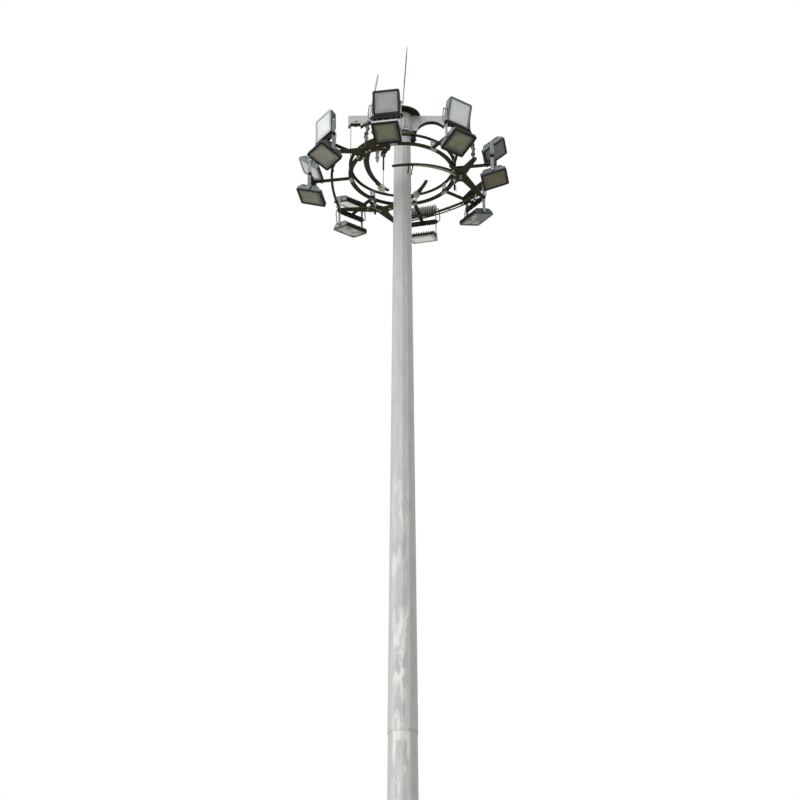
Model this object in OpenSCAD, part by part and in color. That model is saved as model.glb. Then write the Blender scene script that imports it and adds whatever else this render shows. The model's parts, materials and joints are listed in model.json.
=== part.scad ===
// High mast floodlight tower: a folded, tapering mast, a fixed head with three rope arms, and a
// lantern carriage that the winch ropes lower down the mast. Eight stations carry two floodlights each.
// Millimetres. +Z is up, the origin is the centre of the base plate's underside, -Y is the viewer's side.

/* [Mast] */
// Height of the shaft above the ground
mast_height = 20000; // [17000:100:25000]
// Width of the shaft over its corners at the foot
mast_foot_w = 570; // [500:5:600]
// Width of the shaft over its corners at the top
mast_top_w = 260; // [220:5:300]
// Number of folds round the shaft
mast_sides = 12; // [12:4:16]
// Sheet thickness of the shaft
mast_wall = 6; // [4:0.5:10]
// Height of the slip joint's lower edge
slip_z = 9800; // [8000:100:12000]
// Length that the upper section slips over the lower one
slip_lap = 750; // [500:10:1000]

/* [Base] */
// Diameter of the base plate
base_d = 860; // [780:5:960]
// Thickness of the base plate
base_t = 32; // [25:1:45]
// Diameter of the anchor bolt circle
anchor_pcd = 750; // [700:5:800]
// Number of anchor bolts
anchor_count = 12; // [8:4:16]
// Diameter of an anchor bolt hole
anchor_hole_d = 42; // [30:1:48]
// Height of a gusset
gusset_h = 280; // [180:5:350]
// Thickness of a gusset
gusset_t = 14; // [8:1:20]
// Distance of a gusset's toe from the edge of the base plate
gusset_edge = 14; // [8:1:24]
// Height of a gusset's toe
gusset_toe = 30; // [15:1:60]
// Width of a gusset's top edge
gusset_top_w = 22; // [10:1:40]

/* [Access door] */
// Height of the door opening's lower edge
door_z = 620; // [500:10:700]
// Height of the door opening
door_h = 860; // [600:10:900]
// Width of the door opening
door_w = 230; // [180:5:245]
// Corner radius of the door opening
door_corner_r = 70; // [30:5:90]
// Width of the welded frame round the opening
door_frame_w = 45; // [30:1:60]
// Thickness of the welded frame
door_frame_t = 10; // [6:1:14]
// Lap of the door leaf over its frame
door_lap = 22; // [12:1:28]
// Sheet thickness of the door leaf
door_t = 6; // [4:0.5:8]

/* [Head] */
// Rise of the arms' top edge above the shaft
head_rise = 158; // [120:2:220]
// Radius of the head hub
hub_r = 152; // [150:1:190]
// Plate thickness of the head hub above the shaft
hub_t = 10; // [6:1:14]
// Depth of a head arm at the hub
arm_root_h = 300; // [240:5:340]
// Depth of a head arm at its tip
arm_tip_h = 195; // [165:5:215]
// Radius of the arch under a head arm
arch_r = 248; // [230:2:262]
// Distance of the arch centre from the mast axis
arch_x = 470; // [440:5:500]
// Depth of the arch centre under the arms' top edge
arch_drop = 360; // [345:5:380]
// Width of a head arm
arm_w = 86; // [70:2:110]
// Plate thickness of a head arm
arm_t = 8; // [5:1:12]
// Reach of a head arm past its rope
arm_nose = 45; // [35:1:70]
// Length of the notch under a sheave
notch_l = 164; // [150:2:180]
// Height of the notch under a sheave
notch_h = 42; // [30:1:60]
// Compass angles of the head arms and ropes
arm_angles = [0, 112, 180];
// Radius of a rope sheave
sheave_r = 68; // [50:1:74]
// Width of a rope sheave
sheave_w = 34; // [20:1:44]
// Depth of the groove in a rope sheave
sheave_groove = 10; // [8:0.5:12]
// Diameter of a sheave's axle
sheave_axle_d = 26; // [16:1:36]
// Room between a sheave and the plate under it
sheave_room = 4; // [3:0.5:10]
// Diameter of a rope
rope_d = 12; // [8:1:16]
// Radius of the docking collar at its top
collar_r = 158; // [150:1:175]
// Flare of the docking collar's lower edge
collar_flare = 40; // [20:1:60]
// Height of the docking collar
collar_h = 72; // [50:2:110]
// Sheet thickness of the docking collar
collar_t = 10; // [6:1:14]
// Gap between the hub and the docking collar
collar_gap = 16; // [8:1:40]
// Radius of the rain cap
cap_r = 290; // [260:5:330]
// Rise of the rain cap's dome
cap_rise = 112; // [80:2:150]
// Height of the rain cap's rim
cap_rim = 16; // [8:1:30]
// Sheet thickness of the rain cap
cap_t = 5; // [3:0.5:8]
// Rise of the rod's seat on the rain cap
cap_seat = 6; // [4:0.5:12]
// Length of the lightning rod
rod_l = 1330; // [900:10:1600]
// Diameter of the lightning rod
rod_d = 20; // [12:1:28]
// Lean of the lightning rod
rod_lean = 3.5; // [0:0.5:6]
// Length of the lightning rod's point
rod_point_l = 250; // [100:10:400]
// Diameter of the lightning rod's tip
rod_point_d = 7; // [4:0.5:10]
// Diameter of the lightning rod's foot
rod_foot_d = 64; // [48:2:80]
// Height of the lightning rod's foot
rod_foot_h = 24; // [16:1:40]
// Length of the second rod
spike_l = 870; // [600:10:1000]
// Diameter of the second rod
spike_d = 32; // [20:1:40]
// Lean of the second rod
spike_lean = 8.5; // [0:0.5:12]
// Distance of the second rod's foot from the mast axis
spike_x = 530; // [440:5:620]
// Length of the second rod's foot plate
spike_foot_l = 110; // [80:2:140]
// Width of the second rod's foot plate
spike_foot_w = 60; // [50:1:70]
// Thickness of the second rod's foot plate
spike_foot_t = 10; // [6:1:14]

/* [Carriage] */
// Drop of the carriage below the shaft's top when docked
ring_drop = 985; // [900:5:1100]
// Middle radius of the two rings
ring_r = 830; // [780:5:880]
// Width of the lower ring's flat bar
ring_w = 62; // [50:1:80]
// Width of the upper ring's flat bar
upper_ring_w = 52; // [40:1:70]
// Thickness of rings, stars and guide arms
plate_t = 14; // [10:1:18]
// Height of the plates between the two rings
post_h = 118; // [90:2:150]
// Width of a plate between the rings
post_w = 96; // [70:2:120]
// Thickness of a plate between the rings
post_t = 12; // [8:1:20]
// Diameter of the hole in a plate between the rings
post_hole_d = 34; // [20:1:50]
// Compass angle of the first star plate
star_angle = -7; // [-14:1:0]
// Depth of the star plates under the lower ring
star_drop = 60; // [40:2:80]
// Diameter of the spacers between a star and the ring
spacer_d = 40; // [30:1:50]
// Turn of the spacers from their star's middle
spacer_a = 9; // [7:0.5:11]
// Distance of a star's middle from the mast axis
star_r = 930; // [900:5:960]
// Radius of a star's middle
star_mid_r = 92; // [80:2:110]
// Distance of a star's long tip inside the crossbars' circle
star_long_in = 125; // [110:5:180]
// Turn of a star's long arm
star_long_a = 27; // [23:1:31]
// Distance of a star's short tip inside the crossbars' circle
star_short_in = 220; // [180:5:260]
// Turn of a star's short arm
star_short_a = -18; // [-22:1:-15]
// Half width of a star arm at its root
star_arm_r = 80; // [66:1:88]
// Radius of a star arm's tip
star_tip_r = 38; // [30:1:44]
// Diameter of the hole in a star's short arm
star_hole_d = 24; // [14:1:32]
// Turn of the feet that carry a star into the ring
star_foot_a = 17; // [14:1:20]
// Half width of a star's foot at its root
star_foot_r = 64; // [52:1:76]
// Radius of a star's foot on the ring
star_toe_r = 25; // [18:1:30]
// Fillet radius of a star
star_fillet = 60; // [30:5:80]
// Diameter of an outer rail tube
rail_d = 42; // [32:1:50]
// Wall of an outer rail tube
rail_wall = 4; // [2.5:0.5:6]
// Distance of the outer rails inside the crossbars' circle half way between two stars
rail_mid_in = 340; // [300:5:385]
// Height of a rope anchor on the upper ring
anchor_h = 128; // [110:2:160]
// Length of a rope anchor's foot along the ring
anchor_foot_l = 120; // [90:2:150]
// Plate thickness of a rope anchor
anchor_t = 10; // [6:1:14]
// Width of a rope anchor's cheek at its foot
anchor_cheek_w = 50; // [40:1:52]
// Width of a rope anchor's cheek at its head
anchor_head_w = 28; // [24:1:40]
// Diameter of a rope anchor's pin
anchor_pin_d = 20; // [14:1:24]
// Depth of a rope anchor's pin under the rope's foot
anchor_pin_z = 42; // [36:1:60]
// Length of the socket on a rope's end
socket_l = 56; // [52:1:80]
// Wall of the socket on a rope's end
socket_wall = 4; // [3:0.5:6]

/* [Guides] */
// Radius of a guide roller
roller_r = 60; // [50:1:64]
// Width of a guide roller
roller_w = 40; // [30:1:50]
// Chamfer of a guide roller's edges
roller_chamfer = 4; // [2:0.5:6]
// Room between the rollers and the shaft at the lowest stop
roller_room = 8; // [6:1:20]
// Turn of a roller from its star
roller_a = -64; // [-68:1:-60]
// Depth of a roller's axle under its guide arm
roller_drop = 118; // [105:1:135]
// Diameter of a roller's axle
axle_d = 20; // [14:1:26]
// Width of a guide arm at its tip
guide_w = 50; // [40:1:56]
// Width of a guide arm at its root
guide_root_w = 104; // [80:2:120]
// Turn of a guide arm's root from its star's middle
guide_root_a = 2; // [0:0.5:4]
// Distance of a guide arm's bow from the mast axis
guide_bow_r = 420; // [410:2:430]
// Turn of a guide arm's bow from its star
guide_bow_a = -62; // [-64:1:-60]
// Distance of a guide arm's tip from the mast axis
guide_tip_r = 385; // [375:1:400]
// Turn of a guide arm's tip from its star
guide_tip_a = -108; // [-112:1:-104]
// Plate thickness of a roller's fork
fork_t = 8; // [5:0.5:10]
// Room between a roller and its fork
fork_room = 6; // [5:0.5:8]
// Height of the carriage at its lowest stop
low_z = 1850; // [1800:10:2100]

/* [Stations] */
// Compass angle of the first station
station_angle = 35.5; // [31:0.5:40]
// Turn of each station from its even place
station_turn = [0, -4, 0, 0, 0, 0, 0, 0];
// Distance of the crossbars from the mast axis
station_r = 1465; // [1450:5:1560]
// Side of a station arm's square tube
beam_s = 38; // [30:1:46]
// Side of a crossbar's square tube
tube_s = 50; // [46:1:60]
// Wall of the square tubes
tube_wall = 4; // [3:0.5:6]
// Length of a crossbar
crossbar_l = 484; // [475:1:520]
// Turn of the brace's root from its star
brace_root_a = -6; // [-8:0.5:-5]
// Distance of the brace's end from the middle of its crossbar
brace_x = 120; // [100:2:150]
// Side of the brace's square tube
brace_s = 38; // [30:1:46]

/* [Floodlights] */
// Width of a floodlight
lamp_w = 420; // [400:2:426]
// Height of a floodlight
lamp_h = 420; // [400:2:426]
// Corner radius of a floodlight
lamp_corner_r = 30; // [16:1:36]
// Depth of the front frame
bezel_t = 18; // [16:1:24]
// Depth of the housing behind the frame
body_t = 40; // [34:1:44]
// Depth of the cooling fins
fin_t = 46; // [36:1:50]
// Thickness of a cooling fin
fin_w = 5; // [4:0.5:8]
// Number of cooling fins with the two cheeks
fin_count = 11; // [9:1:13]
// Step of the housing behind the frame
body_step = 3; // [2:0.5:6]
// Distance that the fins fall back at the top and bottom
fin_slope = 66; // [50:1:80]
// Distance of the fins' roots from the housing's edge
fin_edge = 30; // [26:1:36]
// Number of cooling slots in a cheek
vent_count = 4; // [3:1:4]
// Pitch of the cooling slots
vent_pitch = 66; // [56:1:70]
// Length of a cooling slot
vent_l = 34; // [20:1:40]
// Width of a cooling slot
vent_w = 14; // [8:0.5:18]
// Border of the front frame round the lens
bezel_w = 35; // [30:1:48]
// Thickness of a lens
lens_t = 8; // [6:0.5:10]
// Depth of the lens under the frame's face
lens_set = 5; // [3:0.5:8]
// Gap round the edge of a lens
lens_gap = 1; // [0.5:0.1:2]
// Width of the ledge that a lens sits on
lens_seat = 16; // [8:1:24]
// Thickness of the housing's back wall
back_t = 9; // [5:0.5:12]
// Distance of the tilt axis behind the middle of the floodlight's depth
pivot_x = 4; // [0:1:8]
// Height of the tilt pivots from the middle of the crossbar
pivot_rise = 258; // [256:1:280]
// Room between a floodlight's sides and its yoke
yoke_room = 9; // [6:0.5:12]
// Thickness of a yoke
yoke_t = 6; // [4:0.5:8]
// Width of a yoke
yoke_w = 54; // [44:1:60]
// Diameter of a pivot boss
boss_d = 40; // [30:1:44]
// Tilt of each upper floodlight below the horizon
upper_tilt = [36, 40, 65, 50, 2, 10, 15, 54];
// Tilt of each lower floodlight below the horizon
lower_tilt = [70, 70, 72, 73, 70, 76, 70, 75];

/* [Hidden] */
// Gap left between pieces that rest on each other
fit = 0.3;
// Cut overrun
cut = 1;
// Station that a brace steadies from its neighbour's star
brace_station = 7;
$fn = 48;
flat = cos(180 / mast_sides);
function shaft_r(z) = (mast_foot_w + (mast_top_w - mast_foot_w) * z / mast_height) / 2;
slip_step = (mast_wall + fit) / flat;
head_top = mast_height + head_rise;
hub_z = head_top - arm_root_h;
sheave_x = ring_r - sheave_r - rope_d / 2;
sheave_z = head_top - arm_tip_h + arm_t + sheave_r + sheave_groove + sheave_room;
ring_z = mast_height - ring_drop;
upper_ring_z = plate_t + beam_s + post_h;
star_z = ring_z - star_drop - plate_t - fit;
star_long_r = station_r - star_long_in;
star_short_r = station_r - star_short_in;
rail_mid_r = station_r - rail_mid_in;
function station_a(i) = station_angle + 45 * (i - 1) + station_turn[i - 1];
bar_z = plate_t + tube_s / 2;
rope_foot = ring_z + upper_ring_z + plate_t + anchor_h + 3 * fit;
guide_z = star_z - fit - plate_t / 2;
roller_z = guide_z - roller_drop;
roller_x = shaft_r(low_z - ring_z + roller_z - roller_r) + roller_room + roller_r;
lamp_front = (bezel_t + body_t + fin_t) / 2 + pivot_x;
lens_w = lamp_w - 2 * bezel_w;
lens_h = lamp_h - 2 * bezel_w;

// Points and arcs in plan
function polar(r, a) = [r * cos(a), r * sin(a)];
function sq(p) = p.x * p.x + p.y * p.y;
function arc_det(a, b, c) = 2 * (a.x * (b.y - c.y) + b.x * (c.y - a.y) + c.x * (a.y - b.y));
function arc_x(a, b, c) = sq(a) * (b.y - c.y) + sq(b) * (c.y - a.y) + sq(c) * (a.y - b.y);
function arc_y(a, b, c) = sq(a) * (c.x - b.x) + sq(b) * (a.x - c.x) + sq(c) * (b.x - a.x);
function arc_mid(a, b, c) = [arc_x(a, b, c), arc_y(a, b, c)] / arc_det(a, b, c);
function turn_of(p, m) = atan2(p.y - m.y, p.x - m.x);
function wrap(a) = a > 180 ? a - 360 : a < -180 ? a + 360 : a;

// Sweeps a flat shape along the arc through a, b and c
module sweep_arc(a, b, c) {
    m = arc_mid(a, b, c);
    r = norm(a - m);
    from = turn_of(a, m);
    span = wrap(turn_of(c, m) - from);
    translate([m.x, m.y, 0])
        rotate([0, 0, span > 0 ? from : from + span])
            rotate_extrude(angle = abs(span), $fn = 120)
                translate([r, 0])
                    children();
}

// A solid of the shaft's own folded shape, grown by a step, between two heights
module shaft_solid(z0, z1, grow) {
    translate([0, 0, z0])
        cylinder(h = z1 - z0, r1 = shaft_r(z0) + grow, r2 = shaft_r(z1) + grow, $fn = mast_sides);
}

module shaft_tube(z0, z1, grow, wall) {
    difference() {
        shaft_solid(z0, z1, grow);
        shaft_solid(z0 - cut, z1 + cut, grow - wall / flat);
    }
}

// The door's outline, pushed from the mast axis through the front of the shaft
module door_block(grow) {
    w = door_w + 2 * grow;
    h = door_h + 2 * grow;
    r = door_corner_r + grow;
    translate([0, 0, door_z + door_h / 2])
        rotate([90, 0, 0])
            linear_extrude(mast_foot_w)
                union() {
                    square([w - 2 * r, h], center = true);
                    square([w, h - 2 * r], center = true);
                    for (x = [-1, 1], y = [-1, 1])
                        translate([x * (w / 2 - r), y * (h / 2 - r)])
                            circle(r);
                }
}

// A skin round the lower section at the door, its outer face the given step off the shaft's flats
module door_skin(step, wall) {
    low = door_z - 2 * door_frame_w;
    high = door_z + door_h + 2 * door_frame_w;
    shaft_tube(low, high, step / flat - slip_step, wall);
}

module base_plate() {
    color("#8d9093")
        difference() {
            cylinder(h = base_t, d = base_d, $fn = 96);
            for (i = [0:anchor_count - 1])
                rotate([0, 0, i * 360 / anchor_count])
                    translate([anchor_pcd / 2, 0, -cut])
                        cylinder(h = base_t + 2 * cut, d = anchor_hole_d);
        }
}

module base_gussets() {
    foot = (shaft_r(base_t) - slip_step) * flat;
    head = (shaft_r(base_t + gusset_h) - slip_step) * flat;
    out = base_d / 2 - gusset_edge;
    color("#96999b")
        for (i = [0:mast_sides - 1])
            rotate([0, 0, (i + 0.5) * 360 / mast_sides])
                translate([0, gusset_t / 2, base_t + fit])
                    rotate([90, 0, 0])
                        linear_extrude(gusset_t)
                            polygon([[foot + fit, 0], [out, 0], [out, gusset_toe],
                                [head + gusset_top_w, gusset_h], [head + fit, gusset_h]]);
}

module mast_lower() {
    color("#a7aaab")
        difference() {
            shaft_tube(base_t + fit, slip_z + slip_lap, -slip_step, mast_wall);
            door_block(0);
        }
}

module mast_upper() {
    color("#a9acad")
        shaft_tube(slip_z, mast_height, 0, mast_wall);
}

module door_frame() {
    color("#9a9d9f")
        difference() {
            intersection() {
                door_skin(door_frame_t + fit, door_frame_t);
                door_block(door_frame_w);
            }
            door_block(-fit);
        }
}

module access_door() {
    color("#a2a5a6")
        intersection() {
            door_skin(door_frame_t + door_t + 2 * fit, door_t);
            door_block(door_lap);
        }
}

module head_hub() {
    color("#b4b7b8")
        difference() {
            translate([0, 0, hub_z])
                cylinder(h = arm_root_h, r = hub_r, $fn = 72);
            shaft_solid(hub_z - cut, mast_height + fit, fit);
            translate([0, 0, mast_height])
                cylinder(h = head_rise - hub_t, r = hub_r - hub_t);
        }
}

// A flared cup under the hub, clamped to the shaft by its top plate
module docking_collar() {
    z0 = hub_z - collar_gap - collar_h;
    foot = collar_r + collar_flare;
    color("#8b8e8e")
        difference() {
            translate([0, 0, z0])
                rotate_extrude($fn = 72)
                    polygon([[0, collar_h], [collar_r, collar_h], [foot, collar_t], [foot, 0],
                        [foot - collar_t, 0], [collar_r - collar_t, collar_h - collar_t],
                        [0, collar_h - collar_t]]);
            shaft_solid(z0 - cut, z0 + collar_h + cut, fit);
        }
}

// Side view of a head arm, its arch cut from below
module arm_side(inset) {
    tip = ring_r + arm_nose - inset;
    difference() {
        translate([hub_r - hub_t, inset - arm_root_h])
            square([tip - hub_r + hub_t, arm_root_h - 2 * inset]);
        translate([arch_x, -arch_drop])
            circle(arch_r + inset, $fn = 96);
        translate([arch_x, -arm_root_h - cut])
            square([ring_r, arm_root_h + cut - arm_tip_h + inset]);
    }
}

module head_arms() {
    color("#b9bcbd")
        for (a = arm_angles)
            rotate([0, 0, a])
                translate([0, 0, head_top])
                    difference() {
                        rotate([90, 0, 0])
                            linear_extrude(arm_w, center = true)
                                arm_side(0);
                        rotate([90, 0, 0])
                            linear_extrude(arm_w - 2 * arm_t, center = true)
                                arm_side(arm_t);
                        translate([ring_r + rope_d - notch_l, -arm_w / 2 - cut, -arm_tip_h - cut])
                            cube([notch_l, arm_w + 2 * cut, notch_h + cut]);
                        translate([0, 0, -arm_root_h - cut])
                            cylinder(h = arm_root_h + 2 * cut, r = hub_r + fit, $fn = 72);
                    }
}

module rope_sheaves() {
    color("#4b4036")
        for (a = arm_angles)
            rotate([0, 0, a])
                translate([sheave_x, 0, sheave_z])
                    rotate([90, 0, 0])
                        union() {
                            difference() {
                                cylinder(h = sheave_w, r = sheave_r + sheave_groove, center = true);
                                rotate_extrude()
                                    translate([sheave_r + rope_d / 2, 0])
                                        union() {
                                            circle(d = rope_d + 2 * fit);
                                            translate([0, -rope_d / 2 - fit])
                                                square(rope_d + 2 * fit);
                                        }
                            }
                            cylinder(h = arm_w - 2 * arm_t - 2 * fit, d = sheave_axle_d, center = true);
                        }
}

// A thin dome with an upright rim and a flat seat for the rod
module rain_cap() {
    dome_r = (cap_r * cap_r + cap_rise * cap_rise) / (2 * cap_rise);
    color("#1d1d1e")
        translate([0, 0, head_top + fit + cap_rim])
            rotate_extrude($fn = 96)
                union() {
                    intersection() {
                        translate([0, cap_rise - dome_r])
                            difference() {
                                circle(dome_r, $fn = 180);
                                circle(dome_r - cap_t, $fn = 180);
                            }
                        square([cap_r, cap_rise]);
                    }
                    translate([cap_r - cap_t, -cap_rim])
                        square([cap_t, cap_rim]);
                    translate([0, cap_rise - cap_t])
                        square([rod_foot_d / 2, cap_t + cap_seat]);
                }
}

module lightning_rod() {
    color("#7a5a4c")
        translate([0, 0, head_top + cap_rim + cap_rise + cap_seat + 2 * fit])
            union() {
                cylinder(h = rod_foot_h, d = rod_foot_d);
                translate([0, 0, rod_foot_h / 2])
                    rotate([0, rod_lean, 0])
                        union() {
                            cylinder(h = rod_l - rod_point_l, d = rod_d);
                            translate([0, 0, rod_l - rod_point_l])
                                cylinder(h = rod_point_l, d1 = rod_d, d2 = rod_point_d);
                        }
            }
}

module second_rod() {
    color("#c4c6c6")
        translate([-spike_x, 0, head_top + fit])
            union() {
                translate([-spike_foot_l / 2, -spike_foot_w / 2, 0])
                    cube([spike_foot_l, spike_foot_w, spike_foot_t]);
                translate([0, 0, spike_foot_t / 2])
                    rotate([0, spike_lean, 0])
                        cylinder(h = spike_l, d = spike_d);
            }
}

module hoist_ropes() {
    color("#8f8f8c")
        for (a = arm_angles)
            rotate([0, 0, a])
                translate([ring_r, 0, rope_foot])
                    cylinder(h = sheave_z - rope_foot, d = rope_d, $fn = 24);
}

module lower_ring() {
    color("#3b3a2c")
        translate([0, 0, ring_z])
            difference() {
                cylinder(h = plate_t, r = ring_r + ring_w / 2, $fn = 120);
                translate([0, 0, -cut])
                    cylinder(h = plate_t + 2 * cut, r = ring_r - ring_w / 2, $fn = 120);
            }
}

module upper_ring() {
    color("#3f3e30")
        translate([0, 0, ring_z + upper_ring_z + fit])
            difference() {
                cylinder(h = plate_t, r = ring_r + upper_ring_w / 2, $fn = 120);
                translate([0, 0, -cut])
                    cylinder(h = plate_t + 2 * cut, r = ring_r - upper_ring_w / 2, $fn = 120);
            }
}

module at_stations() {
    for (i = [1:8])
        rotate([0, 0, station_a(i)])
            children();
}

module ring_posts() {
    color("#9a9d9e")
        at_stations()
            translate([ring_r - post_t / 2, -post_w / 2, ring_z + plate_t + beam_s + 2 * fit])
                difference() {
                    cube([post_t, post_w, post_h - 2 * fit]);
                    translate([-cut, post_w / 2, post_h / 2])
                        rotate([0, 90, 0])
                            cylinder(h = post_t + 2 * cut, d = post_hole_d);
                }
}

// One arm of a star: a taper from its middle to a round tip
module star_arm(p, r0, r1) {
    hull() {
        translate(polar(star_r, 0))
            circle(r0, $fn = 32);
        translate(p)
            circle(r1, $fn = 24);
    }
}

module star_outline() {
    offset(r = -star_fillet, $fn = 40)
        offset(delta = star_fillet)
            union() {
                star_arm(polar(star_long_r, star_long_a), star_arm_r, star_tip_r);
                star_arm(polar(star_short_r, star_short_a), star_arm_r, star_tip_r);
                star_arm(polar(ring_r, star_foot_a), star_foot_r, star_toe_r);
                star_arm(polar(ring_r, -star_foot_a), star_foot_r, star_toe_r);
                translate(polar(star_r, 0))
                    circle(star_mid_r, $fn = 40);
            }
}

module at_stars() {
    for (i = [0:2])
        rotate([0, 0, star_angle + 120 * i])
            children();
}

module star_plates() {
    color("#38372a")
        at_stars()
            union() {
                translate([0, 0, star_z])
                    difference() {
                        linear_extrude(plate_t)
                            star_outline();
                        translate(concat(polar(star_short_r, star_short_a), -cut))
                            cylinder(h = plate_t + 2 * cut, d = star_hole_d);
                    }
                for (s = [-1, 1])
                    translate(concat(polar(ring_r, s * spacer_a), star_z))
                        cylinder(h = plate_t + star_drop, d = spacer_d);
            }
}

// The rails lie on the stars' tips
module outer_rails() {
    middle = (star_long_a + 120 + star_short_a) / 2;
    color("#403f33")
        for (i = [0, 1])
            rotate([0, 0, star_angle + 120 * i])
                translate([0, 0, star_z + plate_t + fit + rail_d / 2])
                    sweep_arc(polar(star_long_r, star_long_a), polar(rail_mid_r, middle),
                        polar(star_short_r, 120 + star_short_a))
                        difference() {
                            circle(d = rail_d, $fn = 32);
                            circle(d = rail_d - 2 * rail_wall, $fn = 32);
                        }
}

// Outline of a bar along the arc through a, b and c, its width running from w0 to w1
module bowed_bar(a, b, c, w0, w1) {
    m = arc_mid(a, b, c);
    r = norm(a - m);
    from = turn_of(a, m);
    whole = wrap(turn_of(c, m) - from);
    steps = 20;
    side = [for (s = [-1, 1]) [for (i = [0:steps]) let (t = i / steps)
        m + polar(r + s * (w0 + (w1 - w0) * t) / 2, from + whole * t)]];
    back = [for (i = [steps:-1:0]) side[1][i]];
    polygon(concat(side[0], back));
}

// A guide arm bows from under its star past the mast. Its roller hangs in a fork under the arm.
module guide_arms() {
    root = polar(star_r, guide_root_a);
    bow = polar(guide_bow_r, guide_bow_a);
    tip = polar(guide_tip_r, guide_tip_a);
    inside = roller_w / 2 + fork_room;
    color("#42413a")
        at_stars()
            union() {
                translate([0, 0, guide_z - plate_t / 2])
                    linear_extrude(plate_t)
                        bowed_bar(root, bow, tip, guide_root_w, guide_w);
                rotate([0, 0, roller_a])
                    translate([roller_x, 0, roller_z])
                        rotate([90, 0, 0])
                            union() {
                                for (s = [-1, 1])
                                    translate([0, 0, s * (inside + fork_t / 2) - fork_t / 2])
                                        linear_extrude(fork_t)
                                            fork_side();
                                cylinder(h = 2 * (inside + fork_t) + axle_d, d = axle_d, center = true);
                            }
            }
}

// One cheek of a roller's fork, from the axle up to the guide arm
module fork_side() {
    reach = guide_bow_r - roller_x;
    union() {
        circle(axle_d);
        polygon([[-axle_d, 0], [reach - guide_w / 2, roller_drop], [reach + guide_w / 2, roller_drop],
            [reach + guide_w / 2, roller_drop - plate_t], [axle_d, 0]]);
    }
}

module guide_roller(i) {
    color("#d9d8cf")
        rotate([0, 0, star_angle + 120 * (i - 1) + roller_a])
            translate([roller_x, 0, roller_z])
                rotate([90, 0, 0])
                    difference() {
                        union() {
                            cylinder(h = roller_w, r = roller_r - roller_chamfer, center = true);
                            cylinder(h = roller_w - 2 * roller_chamfer, r = roller_r, center = true);
                        }
                        cylinder(h = roller_w + 2 * cut, d = axle_d + 2 * fit, center = true);
                    }
}

module guide_roller_1() { guide_roller(1); }
module guide_roller_2() { guide_roller(2); }
module guide_roller_3() { guide_roller(3); }

// The brace lies on the ring beside a star and steadies one station from the side
module station_brace() {
    root = polar(ring_r, star_angle + brace_root_a);
    out = station_a(brace_station);
    end = polar(station_r, out) + polar(brace_x, out + 90);
    way = end - root;
    inner = brace_s - 2 * tube_wall;
    translate([0, 0, ring_z + plate_t + fit])
        difference() {
            translate([root.x, root.y, 0])
                rotate([0, 0, atan2(way.y, way.x)])
                    difference() {
                        translate([0, -brace_s / 2, 0])
                            cube([norm(way), brace_s, brace_s]);
                        translate([-cut, -inner / 2, tube_wall])
                            cube([norm(way) + 2 * cut, inner, inner]);
                    }
            rotate([0, 0, out])
                translate([station_r - tube_s / 2 - fit, -crossbar_l / 2, -cut])
                    cube([2 * tube_s, crossbar_l, tube_s + 2 * cut]);
        }
}

module station_arms() {
    from = ring_r - ring_w / 2;
    long = station_r - tube_s / 2 - fit - from;
    color("#45443a") {
        at_stations()
            translate([from, -beam_s / 2, ring_z + plate_t + fit])
                difference() {
                    cube([long, beam_s, beam_s]);
                    translate([-cut, tube_wall, tube_wall])
                        cube([long + 2 * cut, beam_s - 2 * tube_wall, beam_s - 2 * tube_wall]);
                }
        station_brace();
    }
}

module crossbars() {
    color("#161616")
        at_stations()
            translate([station_r - tube_s / 2, -crossbar_l / 2, ring_z + bar_z - tube_s / 2 + fit])
                difference() {
                    cube([tube_s, crossbar_l, tube_s]);
                    translate([tube_wall, -cut, tube_wall])
                        cube([tube_s - 2 * tube_wall, crossbar_l + 2 * cut, tube_s - 2 * tube_wall]);
                }
}

// A yoke standing on the crossbar, its pivot at the origin of the tilt
module yoke() {
    foot = tube_s / 2 + 2 * fit;
    half = lamp_w / 2 + yoke_room;
    union() {
        translate([-yoke_w / 2, -half - yoke_t, foot])
            cube([yoke_w, 2 * (half + yoke_t), yoke_t]);
        for (s = [-1, 1])
            translate([0, s * (half + yoke_t / 2), 0])
                rotate([90, 0, 0])
                    translate([0, 0, -yoke_t / 2])
                        union() {
                            translate([-yoke_w / 2, foot, 0])
                                cube([yoke_w, pivot_rise - foot, yoke_t]);
                            translate([0, pivot_rise, 0])
                                cylinder(h = yoke_t, d = yoke_w);
                        }
    }
}

module yokes() {
    color("#6f7375")
        at_stations()
            translate([station_r, 0, ring_z + bar_z])
                union() {
                    yoke();
                    rotate([180, 0, 0])
                        yoke();
                }
}

module rope_anchors() {
    cheek_y = rope_d / 2 + socket_wall + anchor_t / 2;
    cheek_h = anchor_h - rope_d;
    color("#a6a9a8")
        for (a = arm_angles)
            rotate([0, 0, a])
                translate([ring_r, 0, ring_z + upper_ring_z + plate_t + 2 * fit])
                    union() {
                        translate([-upper_ring_w / 2, -anchor_foot_l / 2, 0])
                            cube([upper_ring_w, anchor_foot_l, anchor_t]);
                        for (s = [-1, 1])
                            translate([0, s * cheek_y + anchor_t / 2, 0])
                                rotate([90, 0, 0])
                                    linear_extrude(anchor_t)
                                        polygon([[-anchor_cheek_w / 2, 0], [anchor_cheek_w / 2, 0],
                                            [anchor_head_w / 2, cheek_h], [-anchor_head_w / 2, cheek_h]]);
                        translate([0, 0, anchor_h - anchor_pin_z])
                            rotate([90, 0, 0])
                                cylinder(h = 2 * cheek_y + 2 * anchor_t, d = anchor_pin_d, center = true);
                        translate([0, 0, anchor_h - socket_l])
                            cylinder(h = socket_l, d = rope_d + 2 * socket_wall);
                    }
}

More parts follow.
